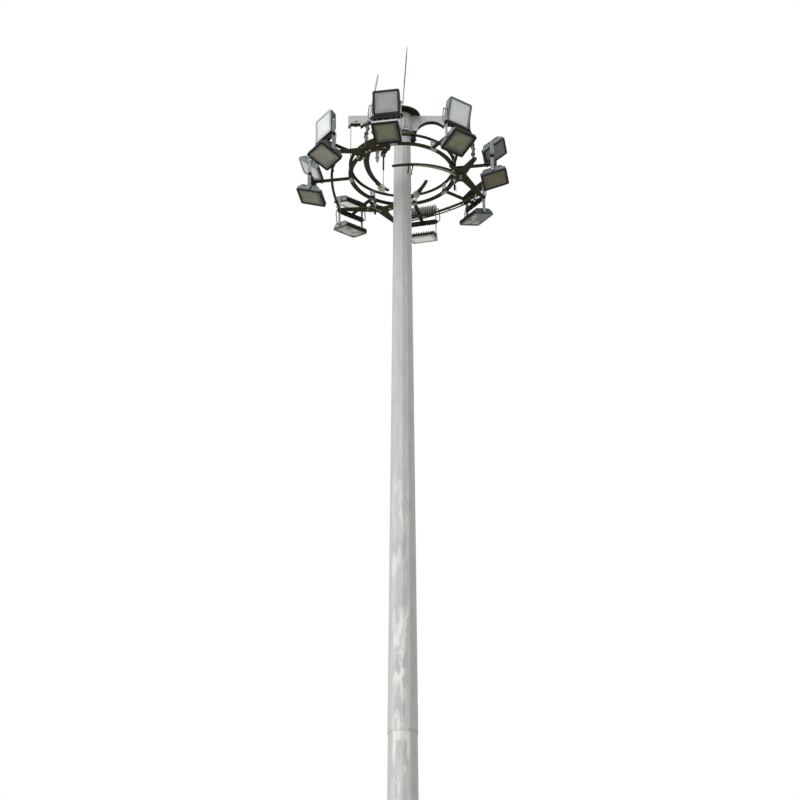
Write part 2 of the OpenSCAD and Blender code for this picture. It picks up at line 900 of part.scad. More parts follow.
// A floodlight faces along +X and tilts about Y. This is its outline, less an inset.
module lamp_section(inset) {
    w = lamp_w - 2 * inset;
    h = lamp_h - 2 * inset;
    r = lamp_corner_r - inset;
    union() {
        square([h - 2 * r, w], center = true);
        square([h, w - 2 * r], center = true);
        for (x = [-1, 1], y = [-1, 1])
            translate([x * (h / 2 - r), y * (w / 2 - r)])
                circle(r, $fn = 32);
    }
}

module lamp() {
    body_w = lamp_w - 2 * body_step;
    body_h = lamp_h - 2 * body_step;
    back = lamp_front - bezel_t - body_t;
    cheek = (body_w - fin_w) / 2;
    pitch = 2 * cheek / (fin_count - 1);
    difference() {
        union() {
            translate([lamp_front - bezel_t, 0, 0])
                rotate([0, 90, 0])
                    linear_extrude(bezel_t)
                        lamp_section(0);
            translate([back, 0, 0])
                rotate([0, 90, 0])
                    linear_extrude(body_t + cut)
                        lamp_section(body_step);
            for (i = [0:fin_count - 1])
                translate([back - fin_t, i * pitch - cheek - fin_w / 2, 0])
                    rotate([-90, 0, 0])
                        linear_extrude(fin_w)
                            polygon([[0, fin_slope - body_h / 2], [0, body_h / 2 - fin_slope],
                                [fin_t + cut, body_h / 2 - fin_edge], [fin_t + cut, fin_edge - body_h / 2]]);
            for (s = [-1, 1])
                translate([0, s * (body_w / 2 - cut), 0])
                    rotate([-90 * s, 0, 0])
                        cylinder(h = body_step + cut + yoke_room - fit, d = boss_d);
        }
        translate([lamp_front - lens_set - lens_t - fit, -lens_w / 2 - lens_gap, -lens_h / 2 - lens_gap])
            cube([lens_set + lens_t + fit + cut, lens_w + 2 * lens_gap, lens_h + 2 * lens_gap]);
        translate([back + back_t, -lens_w / 2 + lens_seat, -lens_h / 2 + lens_seat])
            cube([bezel_t + body_t - back_t, lens_w - 2 * lens_seat, lens_h - 2 * lens_seat]);
        for (i = [0:vent_count - 1], s = [-1, 1])
            translate([back - fin_t / 2, s * cheek, (i - (vent_count - 1) / 2) * vent_pitch])
                cube([vent_w, fin_w + 2 * cut, vent_l], center = true);
    }
}

module lens() {
    translate([lamp_front - lens_set - lens_t, -lens_w / 2, -lens_h / 2])
        cube([lens_t, lens_w, lens_h]);
}

// Puts a floodlight of station i on its pivot, above the crossbar for way 1 and below it for way -1
module aim(i, way, tilt) {
    rotate([0, 0, station_a(i)])
        translate([station_r, 0, ring_z + bar_z + way * pivot_rise])
            rotate([0, tilt, 0])
                children();
}

module upper_floodlight(i) { color("#5d6669") aim(i, 1, upper_tilt[i - 1]) lamp(); }
module lower_floodlight(i) { color("#5d6669") aim(i, -1, lower_tilt[i - 1]) lamp(); }
module upper_lens(i) { color("#c3cacb") aim(i, 1, upper_tilt[i - 1]) lens(); }
module lower_lens(i) { color("#8b8c7c") aim(i, -1, lower_tilt[i - 1]) lens(); }
module upper_floodlight_1() { upper_floodlight(1); }
module upper_floodlight_2() { upper_floodlight(2); }
module upper_floodlight_3() { upper_floodlight(3); }
module upper_floodlight_4() { upper_floodlight(4); }
module upper_floodlight_5() { upper_floodlight(5); }
module upper_floodlight_6() { upper_floodlight(6); }
module upper_floodlight_7() { upper_floodlight(7); }
module upper_floodlight_8() { upper_floodlight(8); }
module upper_lens_1() { upper_lens(1); }
module upper_lens_2() { upper_lens(2); }
module upper_lens_3() { upper_lens(3); }
module upper_lens_4() { upper_lens(4); }
module upper_lens_5() { upper_lens(5); }
module upper_lens_6() { upper_lens(6); }
module upper_lens_7() { upper_lens(7); }
module upper_lens_8() { upper_lens(8); }
module lower_floodlight_1() { lower_floodlight(1); }
module lower_floodlight_2() { lower_floodlight(2); }
module lower_floodlight_3() { lower_floodlight(3); }
module lower_floodlight_4() { lower_floodlight(4); }
module lower_floodlight_5() { lower_floodlight(5); }
module lower_floodlight_6() { lower_floodlight(6); }
module lower_floodlight_7() { lower_floodlight(7); }
module lower_floodlight_8() { lower_floodlight(8); }
module lower_lens_1() { lower_lens(1); }
module lower_lens_2() { lower_lens(2); }
module lower_lens_3() { lower_lens(3); }
module lower_lens_4() { lower_lens(4); }
module lower_lens_5() { lower_lens(5); }
module lower_lens_6() { lower_lens(6); }
module lower_lens_7() { lower_lens(7); }
module lower_lens_8() { lower_lens(8); }

base_plate();
base_gussets();
mast_lower();
mast_upper();
door_frame();
access_door();
head_hub();
docking_collar();
head_arms();
rope_sheaves();
rain_cap();
lightning_rod();
second_rod();
hoist_ropes();
lower_ring();
upper_ring();
ring_posts();
star_plates();
outer_rails();
guide_arms();
guide_roller_1();
guide_roller_2();
guide_roller_3();
station_arms();
crossbars();
yokes();
rope_anchors();
upper_floodlight_1();
upper_floodlight_2();
upper_floodlight_3();
upper_floodlight_4();
upper_floodlight_5();
upper_floodlight_6();
upper_floodlight_7();
upper_floodlight_8();
upper_lens_1();
upper_lens_2();
upper_lens_3();
upper_lens_4();
upper_lens_5();
upper_lens_6();
upper_lens_7();
upper_lens_8();
lower_floodlight_1();
lower_floodlight_2();
lower_floodlight_3();
lower_floodlight_4();
lower_floodlight_5();
lower_floodlight_6();
lower_floodlight_7();
lower_floodlight_8();
lower_lens_1();
lower_lens_2();
lower_lens_3();
lower_lens_4();
lower_lens_5();
lower_lens_6();
lower_lens_7();
lower_lens_8();
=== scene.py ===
import json
import math

import bmesh
import bpy
from mathutils import Matrix, Vector


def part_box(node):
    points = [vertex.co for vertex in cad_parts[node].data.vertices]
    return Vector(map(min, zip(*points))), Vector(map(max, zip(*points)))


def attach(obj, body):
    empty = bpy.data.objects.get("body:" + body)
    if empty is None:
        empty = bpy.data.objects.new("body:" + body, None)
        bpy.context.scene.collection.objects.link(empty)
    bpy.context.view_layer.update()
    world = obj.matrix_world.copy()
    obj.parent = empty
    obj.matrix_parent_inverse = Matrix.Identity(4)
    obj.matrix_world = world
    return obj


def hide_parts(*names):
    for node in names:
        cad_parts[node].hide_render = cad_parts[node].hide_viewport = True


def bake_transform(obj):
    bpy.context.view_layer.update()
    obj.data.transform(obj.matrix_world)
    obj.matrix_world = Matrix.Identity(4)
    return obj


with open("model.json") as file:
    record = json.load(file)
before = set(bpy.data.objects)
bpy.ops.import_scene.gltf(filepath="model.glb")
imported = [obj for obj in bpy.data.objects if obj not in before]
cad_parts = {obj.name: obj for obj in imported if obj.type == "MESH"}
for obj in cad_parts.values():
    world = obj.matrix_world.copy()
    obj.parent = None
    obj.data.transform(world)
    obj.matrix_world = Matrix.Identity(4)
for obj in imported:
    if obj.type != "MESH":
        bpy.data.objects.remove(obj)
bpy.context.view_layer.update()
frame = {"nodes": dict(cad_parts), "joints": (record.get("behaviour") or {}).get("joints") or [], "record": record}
nodes = frame["nodes"]
joints = {joint["name"]: joint for joint in frame["joints"]}
STATIONS = range(1, 9)
KINDS = ("upper", "lower")
MM = 0.001
UP = Vector((0, 0, 1))
DOWN = -UP


# Camera, taken from the photograph

PHOTO_SIDE = 800
FOCAL_PIXELS = 1861
EYE = Vector((-0.038, -24.24, 1.6))
LOOK_UP = math.radians(28.8)


def make_camera():
    """The camera, with the photograph's place, tilt and focal length."""
    lens = bpy.data.cameras.new("camera")
    lens.sensor_fit = "HORIZONTAL"
    lens.sensor_width = 36
    lens.lens = lens.sensor_width * FOCAL_PIXELS / PHOTO_SIDE
    lens.clip_end = 500
    camera = bpy.data.objects.new("camera", lens)
    camera.location = EYE
    camera.rotation_euler = (math.pi / 2 + LOOK_UP, 0, 0)
    bpy.context.scene.collection.objects.link(camera)
    bpy.context.scene.camera = camera


make_camera()


# Shader helpers


def linear(colour):
    """The linear value of a colour written as sRGB hex."""
    parts = [int(colour[i : i + 2], 16) / 255 for i in (1, 3, 5)]
    return [p / 12.92 if p <= 0.04045 else ((p + 0.055) / 1.055) ** 2.4 for p in parts] + [1.0]


def add(tree, kind, inputs=None, **settings):
    """Adds a shader node with its settings. An input takes a hex colour, a value or a node's output."""
    made = tree.nodes.new("ShaderNode" + kind)
    for name, value in settings.items():
        setattr(made, name, value)
    for name, value in (inputs or {}).items():
        if isinstance(value, bpy.types.NodeSocket):
            tree.links.new(value, made.inputs[name])
        else:
            made.inputs[name].default_value = linear(value) if isinstance(value, str) else value
    return made


def material(name, colour, roughness, metallic=0.0):
    """A plain surface, and the parts of its shader that a look builds on."""
    made = bpy.data.materials.new(name)
    made.use_nodes = True
    made.diffuse_color = linear(colour)
    surface = made.node_tree.nodes["Principled BSDF"]
    surface.inputs["Base Color"].default_value = linear(colour)
    surface.inputs["Roughness"].default_value = roughness
    surface.inputs["Metallic"].default_value = metallic
    return made, made.node_tree, surface


def spread(tree, size, stretch=(1, 1, 1), detail=3.0, low=0.35, high=0.65):
    """A soft pattern from 0 to 1 with features of about the given size in metres."""
    place = add(tree, "TexCoord").outputs["Object"]
    place = add(tree, "Mapping", {"Vector": place, "Scale": stretch}).outputs["Vector"]
    noise = add(tree, "TexNoise", {"Vector": place, "Scale": 1 / size, "Detail": detail})
    ramp = add(tree, "MapRange", {"Value": noise.outputs["Fac"], "From Min": low, "From Max": high})
    return ramp.outputs["Result"]


def tint(tree, surface, tone, *stains):
    """Colours a surface: a ground tone, and over it each stain where its pattern shows."""
    for pattern, stain in stains:
        tone = add(tree, "Mix", {"Factor": pattern, 6: tone, 7: stain}, data_type="RGBA").outputs[2]
    tree.links.new(tone, surface.inputs["Base Color"])


def clouded(name, first, second, size, roughness, metallic=0.0, shine=0.5):
    """A surface whose colour drifts between two tones, in clouds of the given size in metres."""
    made, tree, surface = material(name, first, roughness, metallic)
    surface.inputs["Specular IOR Level"].default_value = shine
    tint(tree, surface, first, (spread(tree, size), second))
    return made


# Materials

CHALK_LEFT = 30 * MM
CHALK_SIDES = {"From Min": 140 * MM, "From Max": 90 * MM}
CHALK_TOP = {"From Min": 14.5, "From Max": 12.0}
CHALK_FOOT = {"From Min": 6.0, "From Max": 8.5}
ROD_BLEACH = {"From Min": 20.9, "From Max": 20.6}


def shaft_zinc():
    """Hot-dip zinc on the folded shaft: pale grey, cloudy, with chalky white runs round the slip joint."""
    made, tree, surface = material("shaft_zinc", "#c9cacb", 0.62)
    place = add(tree, "SeparateXYZ", {"Vector": add(tree, "TexCoord").outputs["Object"]}).outputs
    offset = add(tree, "Math", {0: place["X"], 1: CHALK_LEFT}, operation="ADD").outputs[0]
    aside = add(tree, "Math", {0: offset}, operation="ABSOLUTE").outputs[0]
    chalky = 1.0
    for value, limits in ((place["Z"], CHALK_TOP), (place["Z"], CHALK_FOOT), (aside, CHALK_SIDES)):
        fade = add(tree, "MapRange", {"Value": value, **limits}).outputs["Result"]
        chalky = add(tree, "Math", {0: chalky, 1: fade}, operation="MULTIPLY").outputs[0]
    clouds = spread(tree, 120 * MM, (1, 1, 0.35))
    patches = spread(tree, 100 * MM, (1, 1, 0.25), 2.0, 0.50, 0.53)
    patches = add(tree, "Math", {0: patches, 1: chalky}, operation="MULTIPLY").outputs[0]
    runs = spread(tree, 70 * MM, (1, 1, 0.22), 4.0, 0.50, 0.55)
    for pattern in (spread(tree, 450 * MM, (1, 1, 0.5), 2.0, 0.38, 0.50), chalky):
        runs = add(tree, "Math", {0: runs, 1: pattern}, operation="MULTIPLY").outputs[0]
    tint(tree, surface, "#c2c4c6", (clouds, "#cfcfce"), (patches, "#d6d6d5"), (runs, "#f2f1ee"))
    bump = add(tree, "Bump", {"Height": spread(tree, 12 * MM), "Distance": MM, "Strength": 0.15})
    tree.links.new(bump.outputs["Normal"], surface.inputs["Normal"])
    return made


def plate_zinc():
    """Zinc on cut plates: a little brighter than the shaft, dull, with faint clouds."""
    return clouded("plate_zinc", "#bcbebe", "#d0d1d0", 50 * MM, 0.55)


def zinc_painted_shade():
    """Zinc on the rope arms' undersides, darkened as painted shade: dark and matt."""
    return clouded("zinc_painted_shade", "#3a3833", "#57544d", 80 * MM, 0.8, shine=0.2)


def bright_zinc():
    """Electroplated bolts and clamps: pale, slightly shiny."""
    return clouded("bright_zinc", "#c6c8c8", "#aeb0b0", 20 * MM, 0.4, 0.3)


def dark_paint():
    """Dark olive paint on the rings and stars: matt, dusty and slightly rusty in patches."""
    made, tree, surface = material("dark_olive_paint", "#423f2e", 0.7)
    surface.inputs["Specular IOR Level"].default_value = 0.2
    rust = spread(tree, 60 * MM, low=0.58, high=0.72)
    tint(tree, surface, "#3a3828", (spread(tree, 100 * MM), "#494635"), (rust, "#5a4933"))
    return made


def pale_painted_highlight():
    """Painted highlight under one guide arm, for light thrown up on its underside: pale grey, matt."""
    return clouded("pale_painted_highlight", "#c3c3bd", "#d6d6d1", 60 * MM, 0.8, shine=0.2)


def black_paint():
    """Black paint on the crossbars and cap: matt, with a little dust."""
    return clouded("black_paint", "#111111", "#1c1c1c", 80 * MM, 0.6, shine=0.15)


def lamp_paint():
    """Blue-grey powder coat on the lamp castings: even, satin."""
    return clouded("lamp_powder_coat", "#6c767b", "#7c868a", 60 * MM, 0.5)


def teal_paint():
    """A darker coat on some of the castings: blue-green grey, satin."""
    return clouded("teal_powder_coat", "#465257", "#535f63", 60 * MM, 0.5, shine=0.35)


def yoke_zinc():
    """Dull zinc on the yokes: a weathered mid grey."""
    return clouded("yoke_zinc", "#8b9497", "#9ea6a8", 50 * MM, 0.6)


def fin_shade_paint():
    """The same coat between the fins, darker with dust and with painted shade of the grooves."""
    return clouded("fin_coat_painted_shade", "#1d2021", "#2a2e2f", 40 * MM, 0.7, shine=0.15)


def frame_paint():
    """Near-black powder coat on the lamps' frames and ends: dark, satin. It also covers three whole castings as
    painted shade.
    """
    return clouded("frame_powder_coat", "#20201e", "#2c2c28", 40 * MM, 0.6, shine=0.2)


def board_grey():
    """Anodised plate behind the LED strips: dark grey, dull."""
    return clouded("anodised_aluminium", "#3c3d3c", "#565754", 60 * MM, 0.6)


def strip_white():
    """White solder mask of the LED strips: satin, a little yellowed."""
    return clouded("white_solder_mask", "#f7f5ea", "#a29d86", 50 * MM, 0.35, 0.6)


def led_phosphor():
    """LED chips under clear domes: beige yellow, glossy."""
    return clouded("led_phosphor", "#fdf0c6", "#8d8563", 50 * MM, 0.3, 0.85)


def nylon():
    """Turned nylon of the rollers: off-white, dull, a little dirty."""
    return clouded("roller_nylon", "#c9c7bb", "#e0dfd6", 30 * MM, 0.6)


def brown_rod():
    """Copper-clad steel rod, weathered: dull and reddish, bleached pale on its lower half."""
    made, tree, surface = material("copper_clad_steel", "#7a5a50", 0.6)
    height = add(tree, "SeparateXYZ", {"Vector": add(tree, "TexCoord").outputs["Object"]}).outputs["Z"]
    pale = add(tree, "MapRange", {"Value": height, **ROD_BLEACH}).outputs["Result"]
    tint(tree, surface, "#6f5249", (spread(tree, 40 * MM), "#86685f"), (pale, "#b9aca8"))
    return made


def cap_sheet():
    """Dark grey sheet of the rain cap: matt and dusty."""
    return clouded("painted_sheet_steel", "#4a4742", "#5b5751", 80 * MM, 0.7, shine=0.2)


def sheave_iron():
    """Greasy cast iron of the sheaves: brown-black."""
    return clouded("sheave_iron", "#33281f", "#4b3d31", 20 * MM, 0.5, shine=0.3)


def wire_rope():
    """Galvanised wire rope: grey, dull, twisted strands."""
    return clouded("wire_rope", "#7d7e7d", "#9c9d9c", 10 * MM, 0.55)


def cable_rubber():
    """Black rubber of cables, plugs and buffers: dull."""
    return clouded("cable_rubber", "#171717", "#262625", 20 * MM, 0.75, shine=0.2)


def conduit_steel():
    """Galvanised steel conduit: smooth, mid grey, satin."""
    return clouded("conduit_steel", "#8b8f91", "#74787a", 10 * MM, 0.5)


SHAFT = shaft_zinc()
PLATE = plate_zinc()
ARM_UNDERSIDE_SHADE = zinc_painted_shade()
BRIGHT = bright_zinc()
OLIVE = dark_paint()
GUIDE_HIGHLIGHT = pale_painted_highlight()
BLACK = black_paint()
CASTING = lamp_paint()
TEAL = teal_paint()
FIN_SHADE = fin_shade_paint()
YOKE = yoke_zinc()
BEZEL = frame_paint()
BOARD = board_grey()
STRIP = strip_white()
LEDS = led_phosphor()
NYLON = nylon()
BROWN = brown_rod()
CAP = cap_sheet()
IRON = sheave_iron()
ROPE = wire_rope()
RUBBER = cable_rubber()
CONDUIT = conduit_steel()


# Looks of the CAD pieces

# The stations by letter: F back right, E far, D, C and B on the left, A in front, H and G on the right
F, E, D, C, B, A, H, G = STATIONS
# Upper F, upper E and lower E take the near-black frame coat all over, as painted shade of their shaded sides; the
# other castings here have a coat of their own.
OTHER_LAMPS = {("upper", F): BEZEL, ("upper", E): BEZEL, ("lower", E): BEZEL, ("lower", D): YOKE,
               ("lower", F): TEAL, ("upper", B): TEAL, ("lower", B): TEAL}

LOOKS = {
    "base_plate": SHAFT, "base_gussets": SHAFT, "mast_lower": SHAFT, "mast_upper": SHAFT,
    "door_frame": SHAFT, "access_door": SHAFT, "head_hub": PLATE, "head_arms": PLATE,
    "docking_collar": PLATE, "rope_sheaves": IRON, "rain_cap": CAP, "lightning_rod": BROWN,
    "second_rod": PLATE, "hoist_ropes": ROPE, "lower_ring": OLIVE, "upper_ring": OLIVE,
    "ring_posts": PLATE, "star_plates": OLIVE, "outer_rails": OLIVE, "guide_arms": OLIVE,
    "guide_roller_1": NYLON, "guide_roller_2": NYLON, "guide_roller_3": NYLON,
    "station_arms": OLIVE, "crossbars": BLACK, "yokes": YOKE, "rope_anchors": PLATE,
}
for k in STATIONS:
    for kind in KINDS:
        LOOKS[f"{kind}_floodlight_{k}"] = OTHER_LAMPS.get((kind, k), CASTING)


def dress(node, look):
    """Gives one look to a whole CAD piece."""
    nodes[node].data.materials.clear()
    nodes[node].data.materials.append(look)


for name, look in LOOKS.items():
    dress(name, look)


def paint(node, look, chosen, place=Matrix()):
    """Gives another look to the faces that a test picks by centre and normal, as seen from a place."""
    mesh = nodes[node].data
    mesh.materials.append(look)
    last = len(mesh.materials) - 1
    back = place.inverted()
    turn = back.to_3x3()
    for face in mesh.polygons:
        if chosen(back @ face.center, turn @ face.normal):
            face.material_index = last


def looks_down(centre, normal):
    """The undersides of a piece."""
    return normal.z < -0.5


# Painted shade: the rope arms' undersides take the dark zinc.
paint("head_arms", ARM_UNDERSIDE_SHADE, looks_down)
bar_z = (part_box("crossbars")[0].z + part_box("crossbars")[1].z) / 2
paint("yokes", BLACK, lambda centre, normal: abs(centre.z - bar_z) < 40 * MM)


# Shape helpers


def at(point, direction=UP):
    """A place at a point, with its Z along a direction."""
    return Matrix.Translation(point) @ Vector(direction).to_track_quat("Z", "Y").to_matrix().to_4x4()


def polar(radius, degrees, height):
    """A point at a radius from the mast's axis, an angle round it and a height."""
    angle = math.radians(degrees)
    return Vector((radius * math.cos(angle), radius * math.sin(angle), height))


def skin(bm, rings):
    """Faces between rings of points, closed at both ends."""
    loops = [[bm.verts.new(point) for point in ring] for ring in rings]
    count = len(loops[0])
    for low, high in zip(loops, loops[1:]):
        for i in range(count):
            j = (i + 1) % count
            bm.faces.new((low[i], low[j], high[j], high[i]))
    bm.faces.new(reversed(loops[0]))
    bm.faces.new(loops[-1])


def turned(bm, place, outline, sides=20):
    """A shape spun round Z from pairs of radius and height."""
    angles = [2 * math.pi * i / sides for i in range(sides)]
    skin(bm, [
        [place @ Vector((radius * math.cos(a), radius * math.sin(a), height)) for a in angles]
        for radius, height in outline
    ])


def bar(bm, place, size, bevel=2 * MM):
    """A block with eased edges, centred on its place."""
    made = bmesh.ops.create_cube(bm, size=1, matrix=place @ Matrix.Diagonal((*size, 1)))
    edges = {edge for vert in made["verts"] for edge in vert.link_edges}
    bmesh.ops.bevel(bm, geom=list(edges), offset=bevel, segments=1, affect="EDGES")


def smooth(points, steps=6):
    """Points along a smooth curve through the given points."""
    ends = [2 * points[0] - points[1], *points, 2 * points[-1] - points[-2]]
    path = []
    for a, b, c, d in zip(ends, ends[1:], ends[2:], ends[3:]):
        for i in range(steps):
            t = i / steps
            path.append(b + t * (c - a) / 2 + t * t * (a - 2.5 * b + 2 * c - d / 2)
                        + t ** 3 * (d - a + 3 * (b - c)) / 2)
    return path + [points[-1]]


def tube(bm, path, radius, sides=8):
    """A round rod along a path."""
    rings = []
    normal = (path[1] - path[0]).orthogonal().normalized()
    for i, point in enumerate(path):
        ahead = (path[min(i + 1, len(path) - 1)] - path[max(i - 1, 0)]).normalized()
        normal = (normal - ahead * normal.dot(ahead)).normalized()
        across = ahead.cross(normal)
        angles = [2 * math.pi * j / sides for j in range(sides)]
        rings.append([point + radius * (math.cos(a) * normal + math.sin(a) * across) for a in angles])
    skin(bm, rings)


def wound(path, radius, turns, start=0.0):
    """A path that winds round another path."""
    normal = (path[1] - path[0]).orthogonal().normalized()
    points = []
    for i, point in enumerate(path):
        ahead = (path[min(i + 1, len(path) - 1)] - path[max(i - 1, 0)]).normalized()
        normal = (normal - ahead * normal.dot(ahead)).normalized()
        angle = start + 2 * math.pi * turns * i / (len(path) - 1)
        points.append(point + radius * (math.cos(angle) * normal + math.sin(angle) * ahead.cross(normal)))
    return points


def straight(first, last, count):
    """Points in even steps from one point to another."""
    return [first.lerp(last, i / count) for i in range(count + 1)]


def ring_path(radius, height, sides):
    """Points once round the mast's axis, the last on the first."""
    return [polar(radius, 360 * i / sides, height) for i in range(sides + 1)]


def bolt(bm, place, size, nut=0.7):
    """A hexagon bolt head on its washer, standing on a place. Size is the thread's diameter in metres."""
    washer = 0.18 * size
    top = washer + nut * size
    turned(bm, place, [(1.05 * size, 0), (1.05 * size, washer)], 16)
    turned(bm, place, [(0.92 * size, washer), (0.92 * size, top - 0.1 * size), (0.75 * size, top)], 6)


def make(name, bm, look, body):
    """Turns a finished mesh into a piece, which rides a body if one is named."""
    bmesh.ops.recalc_face_normals(bm, faces=bm.faces)
    mesh = bpy.data.meshes.new(name)
    bm.to_mesh(mesh)
    bm.free()
    mesh.materials.append(look)
    mesh.shade_smooth()
    mesh.set_sharp_from_angle(angle=math.radians(35))
    made = bpy.data.objects.new(name, mesh)
    bpy.context.scene.collection.objects.link(made)
    if body:
        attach(made, body)
    return made


# Floodlights

LAMP_HALF = 210 * MM
FRAME_BACK = 38 * MM
FIN_ROOT = -2 * MM
YOKE_OUT = 225 * MM
BOARD_X = 8 * MM
BOARD_SIDE = 312 * MM
FINE_BEVEL = 0.5 * MM
LED_ROWS = 9
LED_PITCH = 33 * MM
LED_RIB = (12 * MM, BOARD_SIDE, 5 * MM)
LED_STRIP = (4 * MM, BOARD_SIDE - 14 * MM, 20 * MM)
LED_DOME = ((9 * MM, 0), (8.4 * MM, 3 * MM), (6 * MM, 6 * MM), (2.5 * MM, 7.5 * MM))
SHADE_PLATE = (36 * MM, 2 * MM, 280 * MM)
PIVOT_WASHER = ((24 * MM, 0.3 * MM), (24 * MM, 4 * MM), (22 * MM, 5 * MM))
PIVOT_BOLT = 18 * MM
LENS_HALF = 175 * MM
LENS_RIM_W = 72 * MM
RIB_PITCH = 27 * MM
# Painted highlight: these lamps' fins, and lower A's ends too, are painted bright zinc where light falls on them.
FIN_HIGHLIGHT_LAMPS = {("lower", A), ("upper", E)}
END_HIGHLIGHT_LAMPS = {("lower", A)}
# Lower E's pale zinc frame is painted light, for the glare on that lamp's face.
FRAME_LOOKS = {("upper", H): CASTING, ("upper", C): CASTING, ("upper", B): YOKE, ("lower", E): PLATE}
FRONT_LOOKS = {("lower", D): YOKE, ("lower", F): YOKE, ("upper", B): PLATE, ("upper", C): PLATE}

# The lens colours are partly each lens's own tint and dust, partly painted light: white and pale where a lens
# catches the bright sky, olive, moss and deep grey for shade and the green ground reflected below.
WHITE_LENS = dict(colour="#ffffff", deep="#f2f4f6", veil=0.9, coat=2.2)
BRIGHT_LENS = dict(colour="#ffffff", deep="#f0f2f8", veil=0.9, coat=2.2, mirror=0.45)
LILAC_LENS = dict(colour="#f4f5ff", deep="#eaecfb", veil=0.88, coat=2.7, ribs=0.08)
PALE_LENS = dict(colour="#dce1e3", deep="#d2d8db", veil=0.5, ribs=0.4)
DEEP_LENS = dict(colour="#676b66", deep="#5d615c", veil=0.75, rim_grime_and_shade=0.5)
OLIVE_LENS = dict(colour="#b4b298", deep="#a3a189", veil=0.68, rim_grime_and_shade=0.9)
MOSS_LENS = dict(colour="#736d38", deep="#686232", veil=0.95, coat=1.25, rim_grime_and_shade=0.6)
GREY_LENS = dict(colour="#d5d4d0", deep="#c5c4c0", veil=0.72, rim_grime_and_shade=0.5)
CLEAR_LENS = dict(colour="#f6f1de", deep="#3d3520", veil=0.95, coat=1.2, patch=140 * MM, blur=0.05)
HAZY_LENS = dict(colour="#cfcdc0", deep="#2c2b1a", veil=0.93, coat=1.2, patch=120 * MM, blur=0.05)
SKY_REFLECTION_LENS = dict(colour="#ffffff", deep="#f4f4f4", veil=0.8, coat=2.4)
LENSES = {
    "upper": {F: PALE_LENS, E: PALE_LENS, D: SKY_REFLECTION_LENS, C: WHITE_LENS,
              B: BRIGHT_LENS, A: PALE_LENS, H: LILAC_LENS, G: DEEP_LENS},
    "lower": {F: HAZY_LENS, E: SKY_REFLECTION_LENS, D: CLEAR_LENS, C: OLIVE_LENS,
              B: GREY_LENS, A: OLIVE_LENS, H: OLIVE_LENS, G: MOSS_LENS},
}


def lamp_frame(kind, k):
    """Where a floodlight sits: its face looks along +X, its tilt axis is Y."""
    tilt = joints[f"{kind}_lamp_tilt_{k}"]
    side = Vector(tilt["axis"])
    out = Vector((side.y, -side.x, 0))
    below = math.radians(-tilt["range_deg"][0])
    face = math.cos(below) * out - math.sin(below) * UP
    turn = Matrix((face, side, face.cross(side))).transposed().to_4x4()
    return Matrix.Translation(tilt["pos_m"]) @ turn


def distance(tree, place, axis):
    """How far a point of a surface lies along one axis of a place."""
    point = add(tree, "TexCoord").outputs["Object"]
    offset = add(tree, "VectorMath", {0: point, 1: place.translation}, operation="SUBTRACT").outputs[0]
    arm = place.col[axis].to_3d()
    return add(tree, "VectorMath", {0: offset, 1: arm}, operation="DOT_PRODUCT").outputs["Value"]


def lens_glass(name, place, colour, deep, veil, coat=1.5, mirror=0.0, ribs=0.0, rim_grime_and_shade=0.2,
               patch=150 * MM, blur=0.1):
    """Toughened glass over an LED board: flat and glossy. A veil of dust in patches, whose edges blur more
    or less, hides the board, faint ribs run across, and the edges darken, most at the lower: partly grime, partly
    painted shade of the frame."""
    made, tree, surface = material(name, colour, 0.08, mirror)
    patches = spread(tree, patch, low=0.5 - blur, high=0.5 + blur)
    rise = distance(tree, place, 2)
    wave = add(tree, "Math", {0: rise, 1: 2 * math.pi / RIB_PITCH}, operation="MULTIPLY").outputs[0]
    wave = add(tree, "Math", {0: wave, 1: spread(tree, 80 * MM)}, operation="ADD").outputs[0]
    wave = add(tree, "Math", {0: wave}, operation="SINE").outputs[0]
    rib = add(tree, "MapRange", {"Value": wave, "From Min": -1, "To Max": ribs}).outputs["Result"]
    across = add(tree, "Math", {0: distance(tree, place, 1)}, operation="ABSOLUTE").outputs[0]
    upward = add(tree, "Math", {0: rise, 1: LENS_RIM_W / 4}, operation="SUBTRACT").outputs[0]
    upward = add(tree, "Math", {0: upward}, operation="ABSOLUTE").outputs[0]
    edge = add(tree, "Math", {0: across, 1: upward}, operation="MAXIMUM").outputs[0]
    # The rim darkens the edges, most the lower: partly grime, partly painted shade of the frame.
    rim = add(tree, "MapRange", {"Value": edge, "From Min": LENS_HALF - LENS_RIM_W, "From Max": LENS_HALF,
                                 "To Max": rim_grime_and_shade}, interpolation_type="SMOOTHSTEP").outputs["Result"]
    tint(tree, surface, colour, (patches, deep), (rib, "#5c605f"), (rim, "#2b2c22"))
    surface.inputs["Alpha"].default_value = veil
    surface.inputs["Coat Weight"].default_value = 1.0
    surface.inputs["Coat IOR"].default_value = coat
    return made


def on_frame(centre, normal):
    """The frame round a lens, its sides too."""
    return centre.x > FRAME_BACK


def on_front(centre, normal):
    """The front of that frame."""
    return centre.x > FRAME_BACK and normal.x > 0.5


def on_end(centre, normal):
    """The upper and lower end of a casting, behind the frame."""
    return abs(normal.z) > 0.7 and centre.x < FRAME_BACK


def on_fins(centre, normal):
    """The fins on a casting's back."""
    return centre.x < FIN_ROOT


def between_fins(centre, normal):
    """The fins and the grooves between them, without the outer cheeks and the upper and lower ends."""
    return centre.x < FIN_ROOT and abs(centre.y) < LAMP_HALF - 10 * MM and abs(normal.z) < 0.7


def led_board():
    """The board behind the lens, with a rib between its rows, in a floodlight's own frame."""
    bm = bmesh.new()
    bar(bm, Matrix.Translation((BOARD_X, 0, 0)), (3 * MM, BOARD_SIDE, BOARD_SIDE), FINE_BEVEL)
    for row in range(LED_ROWS + 1):
        z = (row - LED_ROWS / 2) * LED_PITCH
        bar(bm, Matrix.Translation((BOARD_X + LED_RIB[0] / 2, 0, z)), LED_RIB, FINE_BEVEL)
    return bm


